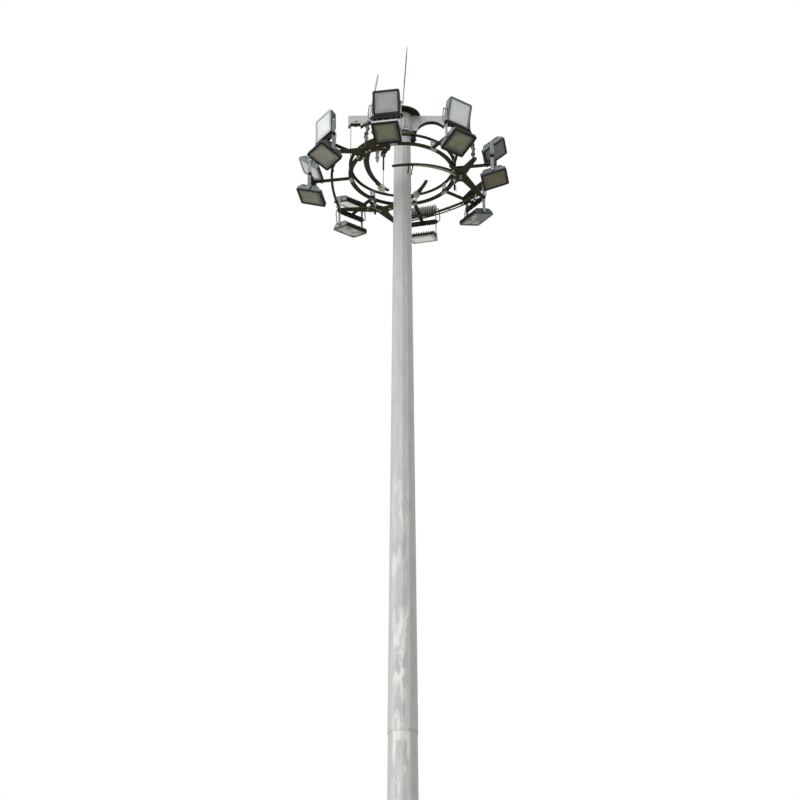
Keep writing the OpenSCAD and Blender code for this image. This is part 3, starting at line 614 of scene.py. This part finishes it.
def led_strips():
    """The pale strips that carry the LED chips, in a floodlight's own frame."""
    bm = bmesh.new()
    for row in range(LED_ROWS):
        z = (row - (LED_ROWS - 1) / 2) * LED_PITCH
        bar(bm, Matrix.Translation((BOARD_X + 3 * MM, 0, z)), LED_STRIP, FINE_BEVEL)
    return bm


def led_domes():
    """The clear domes over the LED chips, in a floodlight's own frame."""
    bm = bmesh.new()
    for row in range(LED_ROWS):
        for column in range(LED_ROWS):
            y, z = ((i - (LED_ROWS - 1) / 2) * LED_PITCH for i in (column, row))
            turned(bm, at((BOARD_X + 5 * MM, y, z), (1, 0, 0)), LED_DOME, 8)
    return bm


def cheek_shade_plates():
    """Dark plates behind the slots in a floodlight's cheeks, as painted shade that hides the light through them,
    in its own frame.
    """
    bm = bmesh.new()
    for side in (-1, 1):
        place = Matrix.Translation((FIN_ROOT - 21 * MM, side * (LAMP_HALF - 22 * MM), 0))
        bar(bm, place, SHADE_PLATE, FINE_BEVEL)
    return bm


def pivot_bolts():
    """The two bolts on which a floodlight tilts, with the washers that clamp it."""
    bm = bmesh.new()
    for side in (-1, 1):
        place = at((0, side * YOKE_OUT, 0), (0, side, 0))
        turned(bm, place, PIVOT_WASHER)
        bolt(bm, place @ Matrix.Translation((0, 0, 4 * MM)), PIVOT_BOLT)
    return bm


for k in STATIONS:
    for kind in KINDS:
        place = lamp_frame(kind, k)
        lamp = f"{kind}_floodlight_{k}"
        dress(f"{kind}_lens_{k}", lens_glass(f"lens_glass_{kind}_{k}", place, **LENSES[kind][k]))
        frame_look = FRAME_LOOKS.get((kind, k), BEZEL)
        paint(lamp, frame_look, on_frame, place)
        paint(lamp, FRONT_LOOKS.get((kind, k), frame_look), on_front, place)
        # Lower A's ends take bright zinc as painted highlight; the other ends take the frame's black.
        paint(lamp, BRIGHT if (kind, k) in END_HIGHLIGHT_LAMPS else BEZEL, on_end, place)
        # Painted shade in the grooves between the fins.
        paint(lamp, FIN_SHADE, between_fins, place)
        # Painted highlight: bright zinc over the fins of the lamps listed above.
        if (kind, k) in FIN_HIGHLIGHT_LAMPS:
            paint(lamp, BRIGHT, on_fins, place)
        for word, shape, look, slot in (
            ("led_board", led_board, BOARD, "lens_glass"),
            ("led_strips", led_strips, STRIP, "lens_glass"),
            ("led_domes", led_domes, LEDS, "lens_glass"),
            # Dark plates of painted shade behind the cheek slots.
            ("cheek_shade_plates", cheek_shade_plates, FIN_SHADE, "lamp_casting"),
            ("pivot_bolts", pivot_bolts, BRIGHT, "zinc_plate"),
        ):
            bm = shape()
            bm.transform(place)
            make(f"{kind}_{word}_{k}", bm, look, f"{kind}_lamp_{k}")


# Stations: conduits, clamps and bolts at each crossbar

RING_R = 830 * MM
RING_HALF_W = 31 * MM
RING_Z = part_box("lower_ring")[0].z
ARM_Z = (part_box("station_arms")[0].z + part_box("station_arms")[1].z) / 2
ARM_HALF = 19 * MM
BAR_HALF = 25 * MM
BAR_END = 242 * MM
PIVOT_RISE = 258 * MM
FOOT_TOP = 32 * MM
STATION_R = 1.465
CABLE_R = 5.5 * MM
CONDUIT_R = 9 * MM
GLAND = ((15 * MM, 0), (15 * MM, 12 * MM), (12 * MM, 16 * MM))
ARM_TIES = 5
CLAMP = (58 * MM, 120 * MM, 8 * MM)


def station_frame(k):
    """The middle of a crossbar: X points away from the mast, Y along the bar."""
    upper = joints[f"upper_lamp_tilt_{k}"]
    side = Vector(upper["axis"])
    out = Vector((side.y, -side.x, 0))
    middle = Vector(upper["pos_m"]) - PIVOT_RISE * UP
    return Matrix.Translation(middle) @ Matrix((out, side, UP)).transposed().to_4x4()


def u_bolt(bm, place, half, drop, rod):
    """A bent rod over a tube of the given half width, its legs going down past drop."""
    angles = [math.pi * i / 10 for i in range(11)]
    bow = [Vector((0, half * math.cos(a), half * math.sin(a))) for a in angles]
    path = [Vector((0, half, -drop)), *bow, Vector((0, -half, -drop))]
    tube(bm, [place @ point for point in path], rod, 8)


def conduits(k):
    """Stiff bent conduit from each hollow pivot to the end of the crossbar."""
    place = station_frame(k)
    bm = bmesh.new()
    for rise, side in ((1, -1), (-1, 1)):
        path = smooth([Vector((0, side * y, rise * z)) for y, z in (
            (YOKE_OUT + 14 * MM, PIVOT_RISE), (YOKE_OUT + 36 * MM, PIVOT_RISE - 6 * MM),
            (YOKE_OUT + 48 * MM, PIVOT_RISE - 40 * MM), (YOKE_OUT + 62 * MM, 90 * MM),
            (YOKE_OUT + 58 * MM, 22 * MM), (YOKE_OUT + 38 * MM, 2 * MM), (BAR_END, 0))])
        tube(bm, [place @ point for point in path], CONDUIT_R, 10)
    make(f"lamp_conduits_{k}", bm, CONDUIT, "carriage")


def glands(k):
    """Black glands where the conduits enter the crossbar's ends."""
    place = station_frame(k)
    bm = bmesh.new()
    for side in (-1, 1):
        turned(bm, place @ at((0, side * BAR_END, 0), (0, side, 0)), GLAND, 6)
    make(f"cable_glands_{k}", bm, RUBBER, "carriage")


def arm_cables(k):
    """Two cables tied along the side of a station arm, from the ring to the crossbar."""
    place = station_frame(k)
    bm = bmesh.new()
    inner = RING_R - RING_HALF_W + 10 * MM - STATION_R
    level = ARM_Z - place.translation.z
    for side in (-1, 1):
        beside = side * (ARM_HALF + CABLE_R)
        path = straight(Vector((inner, beside, level)), Vector((-BAR_HALF, beside, level)), 24)
        tube(bm, [place @ point for point in path], CABLE_R)
    for i in range(ARM_TIES):
        x = inner + (i + 0.8) * (-BAR_HALF - inner) / ARM_TIES
        for side in (-1, 1):
            tie = at((x, side * (ARM_HALF + CABLE_R), level), (1, 0, 0))
            turned(bm, place @ tie, [(8 * MM, -4 * MM), (8 * MM, 4 * MM)], 10)
    make(f"arm_cables_{k}", bm, RUBBER, "carriage")


def station_clamps(k):
    """Clamp plate under the ring with its bolts, and the bolts through both yoke feet."""
    place = station_frame(k)
    bm = bmesh.new()
    under = RING_Z - place.translation.z
    on_ring = RING_R - STATION_R
    bar(bm, place @ Matrix.Translation((on_ring, 0, under - CLAMP[2] / 2)), CLAMP)
    for side in (-1, 1):
        for x in (-16 * MM, 16 * MM):
            bolt(bm, place @ at((on_ring + x, side * 42 * MM, under - CLAMP[2]), DOWN), 10 * MM)
        for rise in (-1, 1):
            for y in (60 * MM, 150 * MM):
                bolt(bm, place @ at((0, side * y, rise * FOOT_TOP), rise * UP), 12 * MM)
    make(f"station_clamps_{k}", bm, BRIGHT, "carriage")


for k in STATIONS:
    conduits(k)
    glands(k)
    arm_cables(k)
    station_clamps(k)


# Carriage: cables, springs, boxes and bolts

STAR_TURNS = (-7, 113, 233)
SPACER_TURN = 9
STAR_R = 930 * MM
STAR_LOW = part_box("star_plates")[0].z
STAR_TOP = STAR_LOW + 14 * MM
GUIDE_LOW = STAR_LOW - 14.3 * MM
GUIDE_ROOT_TURN = 2
GUIDE_ARC = ((STAR_R, GUIDE_ROOT_TURN), (420 * MM, -62), (385 * MM, -108))
GUIDE_ROOT_W = 104 * MM
GUIDE_TIP_W = 50 * MM
# Size and place of the painted highlight under the near guide arm.
HIGHLIGHT_THICK = 1.5 * MM
HIGHLIGHT_STEPS = 60
HIGHLIGHT_FIRST, HIGHLIGHT_LAST = 4, 46
HIGHLIGHT_EDGE = 0.47
HIGHLIGHT_SHARE = 0.6
RAIL_CABLE_OUT = 70 * MM
RAIL_CABLE_R = 11 * MM
RAIL_CLIP_W = 12 * MM
RAIL_R = 21 * MM
RAIL_Z = (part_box("outer_rails")[0].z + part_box("outer_rails")[1].z) / 2
RAIL_STATIONS = ((1.340, 27), (1.125, 64.5), (1.245, 102))
AXLE_END = 34 * MM
RING_TIES = 24
PLUG = ((9 * MM, 95 * MM), (17 * MM, 105 * MM), (17 * MM, 190 * MM), (12 * MM, 200 * MM))
LOOP_R = 62 * MM
RING_BOX_TURN = 282
STAR_BOX_TURN = 236
STRIP_Z = STAR_TOP + 22 * MM
LEFT_STRIP_END = (STAR_R + 10 * MM, 231, STRIP_Z)
RIGHT_STRIP_END = (1.225, -25, STRIP_Z)


def through(first, middle, last, count):
    """Points on the circle arc through three points of one level."""
    a, b, c = (Vector((p.x, p.y)) for p in (first, middle, last))
    cross = 2 * ((b - a).x * (c - a).y - (b - a).y * (c - a).x)
    u, v = (b - a).length_squared, (c - a).length_squared
    hub = a + Vector(((c - a).y * u - (b - a).y * v, (b - a).x * v - (c - a).x * u)) / cross
    start = math.atan2((a - hub).y, (a - hub).x)
    sweep = (math.atan2((c - hub).y, (c - hub).x) - start + math.pi) % (2 * math.pi) - math.pi
    radius = (a - hub).length
    angles = [start + sweep * i / count for i in range(count + 1)]
    return [Vector((hub.x + radius * math.cos(t), hub.y + radius * math.sin(t), first.z)) for t in angles]


def rail_path(turn, count):
    """Points along the middle of an outer rail that starts at a star."""
    return through(*(polar(r, turn + a, RAIL_Z) for r, a in RAIL_STATIONS), count)


def guide_painted_highlight():
    """The pale band of painted highlight under the near guide arm, along its inner edge."""
    bm = bmesh.new()
    arc = through(*(polar(r, STAR_TURNS[0] + a, GUIDE_LOW) for r, a in GUIDE_ARC), HIGHLIGHT_STEPS)
    rings = []
    for i in range(HIGHLIGHT_FIRST, HIGHLIGHT_LAST + 1):
        inward = (arc[i + 1] - arc[i]).normalized().cross(UP)
        width = GUIDE_ROOT_W + (GUIDE_TIP_W - GUIDE_ROOT_W) * i / HIGHLIGHT_STEPS
        swell = math.sin(math.pi * (i - HIGHLIGHT_FIRST + 1) / (HIGHLIGHT_LAST - HIGHLIGHT_FIRST + 2)) ** 0.4
        edge = arc[i] + HIGHLIGHT_EDGE * width * inward
        inner = edge - HIGHLIGHT_SHARE * width * swell * inward
        drop = HIGHLIGHT_THICK * UP
        rings.append([edge, inner, inner - drop, edge - drop])
    skin(bm, rings)
    make("guide_painted_highlight", bm, GUIDE_HIGHLIGHT, "carriage")


def rail_cables():
    """Cables wound round the near end of the left rail, and one clipped beside the right rail."""
    bm = bmesh.new()
    left = rail_path(STAR_TURNS[1], 240)
    tube(bm, wound(left[150:228], RAIL_R + CABLE_R, 4), CABLE_R, 6)
    tube(bm, wound(left[175:236], RAIL_R + 3 * CABLE_R, 2.5), CABLE_R, 6)
    right = rail_path(STAR_TURNS[0], 60)
    beside = [point + RAIL_CABLE_OUT * Vector((point.x, point.y, 0)).normalized() for point in right]
    tube(bm, beside[6:-6], RAIL_CABLE_R)
    for i in range(7, 56, 9):
        ahead = right[i + 1] - right[i]
        turned(bm, at(right[i], ahead), [(RAIL_R + MM, -5 * MM), (RAIL_R + MM, 5 * MM)])
        clip = at((right[i] + beside[i]) / 2, beside[i] - right[i])
        bar(bm, clip, (RAIL_CLIP_W, RAIL_CLIP_W, RAIL_CABLE_OUT), MM)
    make("rail_cables", bm, RUBBER, "carriage")


def rail_saddles():
    """U-bolts that hold the rails on the stars' tips."""
    bm = bmesh.new()
    for turn in STAR_TURNS[:2]:
        path = rail_path(turn, 60)
        for i, j in ((1, 2), (3, 4), (-3, -2), (-5, -4)):
            ahead = path[j] - path[i]
            across = UP.cross(ahead).normalized()
            turn_to = Matrix((ahead.normalized(), across, UP)).transposed().to_4x4()
            place = Matrix.Translation(path[i]) @ turn_to
            u_bolt(bm, place, RAIL_R + 5 * MM, RAIL_R + 30 * MM, 5 * MM)
            for side in (-1, 1):
                foot = place @ Vector((0, side * (RAIL_R + 5 * MM), STAR_LOW - RAIL_Z))
                bolt(bm, at(foot, DOWN), 10 * MM)
    make("rail_saddles", bm, BRIGHT, "carriage")


def ring_cables():
    """Two trunk cables tied along the inner edge of the lower ring."""
    bm = bmesh.new()
    inside = RING_R - RING_HALF_W - CABLE_R
    for rise in (1, 12):
        tube(bm, ring_path(inside, RING_Z + rise * MM, 96), CABLE_R, 6)
    for i in range(RING_TIES):
        place = at(polar(inside, 360 * (i + 0.5) / RING_TIES, RING_Z + 6.5 * MM))
        turned(bm, place, [(6.5 * MM, -12 * MM), (6.5 * MM, 12 * MM)], 8)
    make("ring_cables", bm, RUBBER, "carriage")


def star_bolts():
    """Bolts under the stars: at the spacers, at the guide arms' roots and on the roller axles."""
    bm = bmesh.new()
    for turn in STAR_TURNS:
        bolt(bm, at(polar(RING_R, turn - SPACER_TURN, STAR_LOW), DOWN), 24 * MM)
        for along in (-2, 2):
            bolt(bm, at(polar(STAR_R, turn + GUIDE_ROOT_TURN + along, GUIDE_LOW), DOWN), 20 * MM)
    for i in (1, 2, 3):
        spin = joints[f"roller_spin_{i}"]
        for side in (-1, 1):
            way = side * Vector(spin["axis"])
            bolt(bm, at(Vector(spin["pos_m"]) + AXLE_END * way, way), 18 * MM, 0.45)
    make("star_bolts", bm, BRIGHT, "carriage")


def spring_buffer():
    """The sprung buffer that hangs from the left star: a rod, a coil spring and pale washers."""
    bm = bmesh.new()
    top = polar(RING_R, STAR_TURNS[2] + SPACER_TURN, STAR_LOW)
    hang = at(top, DOWN)
    turned(bm, hang, [(8 * MM, 0), (8 * MM, 225 * MM), (6 * MM, 228 * MM)], 12)
    for depth, radius in ((0, 30), (128, 36), (172, 26)):
        turned(bm, hang @ Matrix.Translation((0, 0, depth * MM)), [(radius * MM, 0), (radius * MM, 6 * MM)])
    for depth in (134, 178, 195):
        turned(bm, hang @ Matrix.Translation((0, 0, depth * MM)), [(15 * MM, 0), (15 * MM, 13 * MM)], 6)
    coil = wound(straight(top - 9 * MM * UP, top - 126 * MM * UP, 96), 23 * MM, 6)
    tube(bm, coil, 5 * MM, 6)
    make("spring_buffer", bm, BRIGHT, "carriage")


def parked_plugs():
    """Under the other two stars: a bolt, a rod with a plug on its end, and a stiff wire loop."""
    metal = bmesh.new()
    plugs = bmesh.new()
    for turn in STAR_TURNS[:2]:
        top = polar(RING_R, turn + SPACER_TURN, STAR_LOW)
        hang = at(top, DOWN)
        bolt(metal, hang, 26 * MM)
        turned(metal, hang, [(5 * MM, 0), (5 * MM, 120 * MM)], 10)
        turned(plugs, hang, PLUG, 14)
        out = polar(1, turn + 80, 0)
        middle = top - 125 * MM * UP + LOOP_R * out
        angles = [math.radians(180 + 15 * i) for i in range(25)]
        loop = [middle + LOOP_R * (math.cos(a) * out + math.sin(a) * UP) for a in angles]
        tube(metal, loop, 3 * MM, 6)
    make("plug_hangers", metal, BRIGHT, "carriage")
    make("parked_plugs", plugs, RUBBER, "carriage")


def boxes():
    """The junction box under the upper ring, the one on the left star, and their lids."""
    bm = bmesh.new()
    upper_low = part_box("upper_ring")[0].z
    for point, turn, size in (
        (polar(RING_R - 20 * MM, RING_BOX_TURN, upper_low - 60 * MM), RING_BOX_TURN, (60, 66, 84)),
        (polar(STAR_R + 20 * MM, STAR_BOX_TURN, STAR_TOP + 33 * MM), STAR_BOX_TURN, (70, 110, 66)),
    ):
        place = Matrix.Translation(point) @ Matrix.Rotation(math.radians(turn), 4, "Z")
        width, length, height = (side * MM for side in size)
        bar(bm, place, (width, length, height), 4 * MM)
        lid = place @ Matrix.Translation((width / 2 + 3 * MM, 0, 0))
        bar(bm, lid, (8 * MM, length + 6 * MM, height + 6 * MM))
        for y in (-1, 1):
            gland = place @ at((0, y * length / 2, -0.2 * height), (0, y, 0))
            turned(bm, gland, [(12 * MM, 0), (12 * MM, 14 * MM), (9 * MM, 20 * MM)], 8)
    hanger = Matrix.Translation(polar(RING_R - 20 * MM, RING_BOX_TURN, upper_low - 10 * MM))
    hanger = hanger @ Matrix.Rotation(math.radians(RING_BOX_TURN), 4, "Z")
    bar(bm, hanger, (40 * MM, 30 * MM, 20 * MM), MM)
    make("junction_boxes", bm, BLACK, "carriage")


def harness(name, first, last):
    """A steel strip from a crossbar's end to a star, with cables and conduit wound and coiled on it."""
    strip = bmesh.new()
    cables = bmesh.new()
    pipe = bmesh.new()
    middle = (first + last) / 2
    along = last - first
    bar(strip, at(middle, along), (30 * MM, 6 * MM, along.length), MM)
    path = straight(first, last, 160)
    tube(cables, wound(path, 20 * MM, 3), CABLE_R, 6)
    tube(pipe, wound(path, 22 * MM, 2.5, 2.1), 8 * MM, 8)
    for share in (0.25, 0.6):
        coil = at(first.lerp(last, share), along.orthogonal())
        loop = [coil @ polar(38 * MM, 20 * i, 0.4 * MM * i) for i in range(40)]
        tube(pipe, loop, 7 * MM, 8)
    for share in (0.12, 0.45, 0.85):
        knot = at(first.lerp(last, share), along)
        bar(cables, knot, (64 * MM, 40 * MM, 34 * MM), 4 * MM)
        for side in (-1, 1):
            bolt(strip, knot @ at((side * 22 * MM, 0, 17 * MM)), 12 * MM)
            u_bolt(strip, knot @ Matrix.Translation((0, 0, side * 24 * MM)), 30 * MM, 22 * MM, 4 * MM)
    make(f"{name}_strip", strip, BRIGHT, "carriage")
    make(f"{name}_cables", cables, RUBBER, "carriage")
    make(f"{name}_conduit", pipe, CONDUIT, "carriage")


guide_painted_highlight()
rail_cables()
rail_saddles()
ring_cables()
star_bolts()
spring_buffer()
parked_plugs()
boxes()
harness("left_harness", station_frame(A) @ Vector((0, -BAR_END - 45 * MM, -BAR_HALF)),
        polar(*LEFT_STRIP_END))
harness("right_harness", station_frame(H) @ Vector((0, BAR_END + 25 * MM, -BAR_HALF)),
        polar(*RIGHT_STRIP_END))


# Hoist ropes: one taut rope from each sheave to its anchor

ROPE_TURNS = (0, 112, 180)
ROPE_R = 6 * MM
ROPE_LAY = 75 * MM
ROPE_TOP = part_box("hoist_ropes")[1].z
ROPE_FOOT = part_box("hoist_ropes")[0].z
ROPE_RUN_IN = 400 * MM
SLEEVE = ((9 * MM, 0), (14 * MM, 6 * MM), (14 * MM, 270 * MM), (9 * MM, 280 * MM))
SHEAVE_BED = 68 * MM
STRANDS = 6


def lay_rope(bm, path):
    """A rope of twisted strands along a path."""
    core = 0.62 * ROPE_R
    length = sum((b - a).length for a, b in zip(path, path[1:]))
    for i in range(STRANDS):
        tube(bm, wound(path, core, length / ROPE_LAY, 2 * math.pi * i / STRANDS), 0.42 * ROPE_R, 5)
    tube(bm, path, core, 6)


def hoist_ropes():
    """The ropes between head and carriage."""
    bm = bmesh.new()
    for turn in ROPE_TURNS:
        lay_rope(bm, straight(polar(RING_R, turn, ROPE_TOP), polar(RING_R, turn, ROPE_FOOT), 110))
    ropes = make("taut_ropes", bm, ROPE, None)
    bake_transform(ropes)
    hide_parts("hoist_ropes")


def ropes_on_sheaves():
    """The rope over each sheave, which then runs in to the shaft's head."""
    bm = bmesh.new()
    for turn in ROPE_TURNS:
        out = polar(1, turn, 0)
        hub = polar(RING_R - SHEAVE_BED - ROPE_R, turn, ROPE_TOP)
        angles = [math.radians(6 * i) for i in range(16)]
        arc = [hub + (SHEAVE_BED + ROPE_R) * (math.cos(a) * out + math.sin(a) * UP) for a in angles]
        inner = arc[-1] - ROPE_RUN_IN * out
        lay_rope(bm, arc + straight(arc[-1] - 20 * MM * out, inner, 30))
    make("ropes_on_sheaves", bm, ROPE, "mast")


def rope_sleeve():
    """The black sleeve on the far left rope, below its sheave."""
    bm = bmesh.new()
    hang = at(polar(RING_R, ROPE_TURNS[1], ROPE_TOP - 110 * MM), DOWN)
    turned(bm, hang, SLEEVE, 14)
    make("rope_sleeve", bm, RUBBER, "mast")


hoist_ropes()
ropes_on_sheaves()
rope_sleeve()


# Head: nuts, bolts and collar edges

ARM_SIDE = 43 * MM
HUB_R = 152 * MM
HUB_BOLTS = 8
HUB_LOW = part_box("head_hub")[0].z
COLLAR_LOW, COLLAR_HIGH = (corner.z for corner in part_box("docking_collar"))
COLLAR_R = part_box("docking_collar")[1].x
COLLAR_TOP_R = COLLAR_R - 40 * MM


def head_bolts():
    """Nuts of the sheave axles, and bolts round the hub's lower edge."""
    bm = bmesh.new()
    for turn in ROPE_TURNS:
        axle = polar(RING_R - SHEAVE_BED - ROPE_R, turn, ROPE_TOP)
        for side in (-1, 1):
            way = side * polar(1, turn + 90, 0)
            bolt(bm, at(axle + ARM_SIDE * way, way), 24 * MM)
    for i in range(HUB_BOLTS):
        out = polar(1, 360 * (i + 0.5) / HUB_BOLTS, 0)
        bolt(bm, at(HUB_R * out + (HUB_LOW + 40 * MM) * UP, out), 16 * MM)
    make("head_bolts", bm, BRIGHT, "mast")


def collar_edges():
    """Rubber beads round the collar's two edges, on which the carriage docks."""
    bm = bmesh.new()
    tube(bm, ring_path(COLLAR_R - 4 * MM, COLLAR_LOW + MM, 48), 6 * MM)
    tube(bm, ring_path(COLLAR_TOP_R, COLLAR_HIGH - 2 * MM, 48), 5 * MM)
    make("collar_edges", bm, RUBBER, "mast")


head_bolts()
collar_edges()


# Mast: foot, door and welds

foot = next(mount for mount in frame["record"]["mounts"] if mount["name"] == "anchor_bolts")["dims"]
PLATE_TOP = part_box("base_plate")[1].z
FOOT_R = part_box("mast_lower")[1].x
TOP_R = 130 * MM
SHAFT_SIDES = 12
FLAT = math.cos(math.pi / SHAFT_SIDES)
DOOR_LOW, DOOR_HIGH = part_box("access_door")
SLIP_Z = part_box("mast_upper")[0].z
SEAM_Z = 10.83
MAST_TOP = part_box("mast_upper")[1].z
SLIP_STEP = 6.5 * MM
STUD_WASHER = ((36 * MM, 0), (36 * MM, 5 * MM), (34 * MM, 6 * MM))
STUD_NUT = ((28 * MM, 0), (31 * MM, 3 * MM), (31 * MM, 25 * MM), (28 * MM, 28 * MM))
STUD = ((18 * MM, 0), (18 * MM, 100 * MM), (15 * MM, 104 * MM))
HINGE_TURN, LOCK_TURN = 255, 285
DOOR_CORNER = 92 * MM
DOOR_SEAT = 10.3 * MM


def shaft_r(height):
    """The shaft's radius to its corners."""
    radius = FOOT_R + (TOP_R - FOOT_R) * height / MAST_TOP
    return radius + SLIP_STEP * height / MAST_TOP if height > SLIP_Z else radius


def on_flat(degrees, along, height, lift):
    """A point above the middle of one of the shaft's flats, moved sideways along it."""
    side = polar(1, degrees + 90, 0)
    return polar(shaft_r(height) * FLAT + lift, degrees, height) + along * side


def anchor_studs():
    """Studs through the base plate, each with a washer and two nuts."""
    bm = bmesh.new()
    for i in range(foot["count"]):
        place = at(polar(foot["pcd_mm"] * MM / 2, 360 * i / foot["count"], PLATE_TOP))
        turned(bm, place, STUD_WASHER)
        for low in (6, 36):
            turned(bm, place @ Matrix.Translation((0, 0, low * MM)), STUD_NUT, 6)
        turned(bm, place, STUD)
    make("anchor_studs", bm, BRIGHT, "mast")


def weld_beads():
    """Weld beads round the foot, the gussets and the upper section, and the slip joint's sealing fillet."""
    bm = bmesh.new()
    tube(bm, ring_path(shaft_r(PLATE_TOP) + 2 * MM, PLATE_TOP + 2 * MM, SHAFT_SIDES), 6 * MM)
    tube(bm, ring_path(shaft_r(SEAM_Z), SEAM_Z, SHAFT_SIDES), 1.5 * MM)
    inner = shaft_r(SLIP_Z) - 4 * MM
    edge = shaft_r(SLIP_Z) + SLIP_STEP
    low = SLIP_Z - 40 * MM
    high = SLIP_Z + MM
    turned(bm, Matrix(), [(inner, low), (inner + 4.5 * MM, low), (edge, high), (inner, high)], SHAFT_SIDES)
    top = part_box("base_gussets")[1].z
    for i in range(SHAFT_SIDES):
        degrees = 360 * (i + 0.5) / SHAFT_SIDES
        for side in (-1, 1):
            heights = (PLATE_TOP + 4 * MM, top - 4 * MM)
            ends = [on_flat(degrees, side * 9 * MM, height, MM) for height in heights]
            tube(bm, straight(*ends, 12), 4 * MM, 6)
    make("weld_beads", bm, SHAFT, "mast")


def door_fittings():
    """Barrel hinges on the door's left edge and two lock studs on its right."""
    bm = bmesh.new()
    middle = (DOOR_LOW.z + DOOR_HIGH.z) / 2
    half = (DOOR_HIGH.z - DOOR_LOW.z) / 2
    lift = -DOOR_LOW.y - shaft_r(middle)
    for height in (middle - 0.62 * half, middle + 0.62 * half):
        barrel = at(on_flat(HINGE_TURN, -72 * MM, height - 45 * MM, lift + 5 * MM))
        turned(bm, barrel, [(9 * MM, 0), (10 * MM, MM), (10 * MM, 89 * MM), (9 * MM, 90 * MM)], 16)
        leaf = at(on_flat(HINGE_TURN, -45 * MM, height, lift + 2 * MM), polar(1, HINGE_TURN, 0))
        bar(bm, leaf, (46 * MM, 70 * MM, 5 * MM), MM)
        lock = at(on_flat(LOCK_TURN, 44 * MM, height, lift), polar(1, LOCK_TURN, 0))
        turned(bm, lock, [(20 * MM, 0), (20 * MM, 6 * MM), (17 * MM, 8 * MM)])
        turned(bm, lock, [(9 * MM, 8 * MM), (9 * MM, 16 * MM)], 3)
    make("door_fittings", bm, BRIGHT, "mast")


def on_front_ridge(across, height, lift):
    """A point above the two front flats, which meet in a ridge."""
    turn = math.pi / SHAFT_SIDES
    face = shaft_r(height) * FLAT + lift
    return Vector((across, (abs(across) * math.sin(turn) - face) / math.cos(turn), height))


def door_seal():
    """Rubber seal that shows round the door's edge."""
    bm = bmesh.new()
    half = DOOR_HIGH.x - DOOR_CORNER
    path = []
    for quarter, across, height in (
        (0, half, DOOR_HIGH.z - DOOR_CORNER), (1, -half, DOOR_HIGH.z - DOOR_CORNER),
        (2, -half, DOOR_LOW.z + DOOR_CORNER), (3, half, DOOR_LOW.z + DOOR_CORNER),
    ):
        for i in range(9):
            edge = polar(DOOR_CORNER, 90 * quarter + 11.25 * i, 0)
            path.append(on_front_ridge(across + edge.x, height + edge.y, DOOR_SEAT))
        if quarter in (0, 2):
            path.append(on_front_ridge(0, path[-1].z, DOOR_SEAT))
    tube(bm, [*path, path[0]], 5 * MM, 8)
    make("door_seal", bm, RUBBER, "mast")


anchor_studs()
weld_beads()
door_fittings()
door_seal()


# Floor, lights and background

FLOOR_REACH = 700
SUN_STRENGTH = 1.7
SUN_WIDTH = 50
SUN_WAY = Vector((0.62, 0.52, -0.58))
SKY_STRENGTH = 0.75


def make_floor():
    """A pale floor, which throws less light back on the object than the camera sees."""
    bm = bmesh.new()
    bmesh.ops.create_circle(bm, cap_ends=True, segments=96, radius=FLOOR_REACH)
    mesh = bpy.data.meshes.new("floor")
    bm.to_mesh(mesh)
    bm.free()
    floor = bpy.data.objects.new("floor", mesh)
    look, tree, surface = material("pale_floor", "#cfcfcb", 0.9)
    tint(tree, surface, "#8f8e7c", (seen_ray(tree), "#cfcfcb"))
    mesh.materials.append(look)
    bpy.context.scene.collection.objects.link(floor)


def seen_ray(tree):
    """1 for what the camera sees, straight or in a mirror or glass, and 0 for light on the object."""
    path = add(tree, "LightPath").outputs
    seen = path["Is Camera Ray"]
    for ray in ("Is Glossy Ray", "Is Transmission Ray"):
        seen = add(tree, "Math", {0: seen, 1: path[ray]}, operation="MAXIMUM").outputs[0]
    return seen


def make_sun():
    """One wide soft light from the left front, above."""
    light = bpy.data.lights.new("key", "SUN")
    light.energy = SUN_STRENGTH
    light.angle = math.radians(SUN_WIDTH)
    lamp = bpy.data.objects.new("key", light)
    lamp.rotation_euler = SUN_WAY.to_track_quat("-Z", "Y").to_euler()
    bpy.context.scene.collection.objects.link(lamp)


def make_world():
    """An even sky that lights the object, and a white one that the camera and mirrors see."""
    world = bpy.data.worlds.new("studio")
    bpy.context.scene.world = world
    world.use_nodes = True
    tree = world.node_tree
    tree.nodes.clear()
    light = add(tree, "Background", {"Color": "#f4f6f8", "Strength": SKY_STRENGTH})
    white = add(tree, "Background", {"Color": "#ffffff", "Strength": 1.0})
    both = add(tree, "MixShader", {0: seen_ray(tree), 1: light.outputs[0], 2: white.outputs[0]})
    add(tree, "OutputWorld", {"Surface": both.outputs[0]})


make_floor()
make_sun()
make_world()
bpy.context.scene.view_settings.view_transform = "Standard"
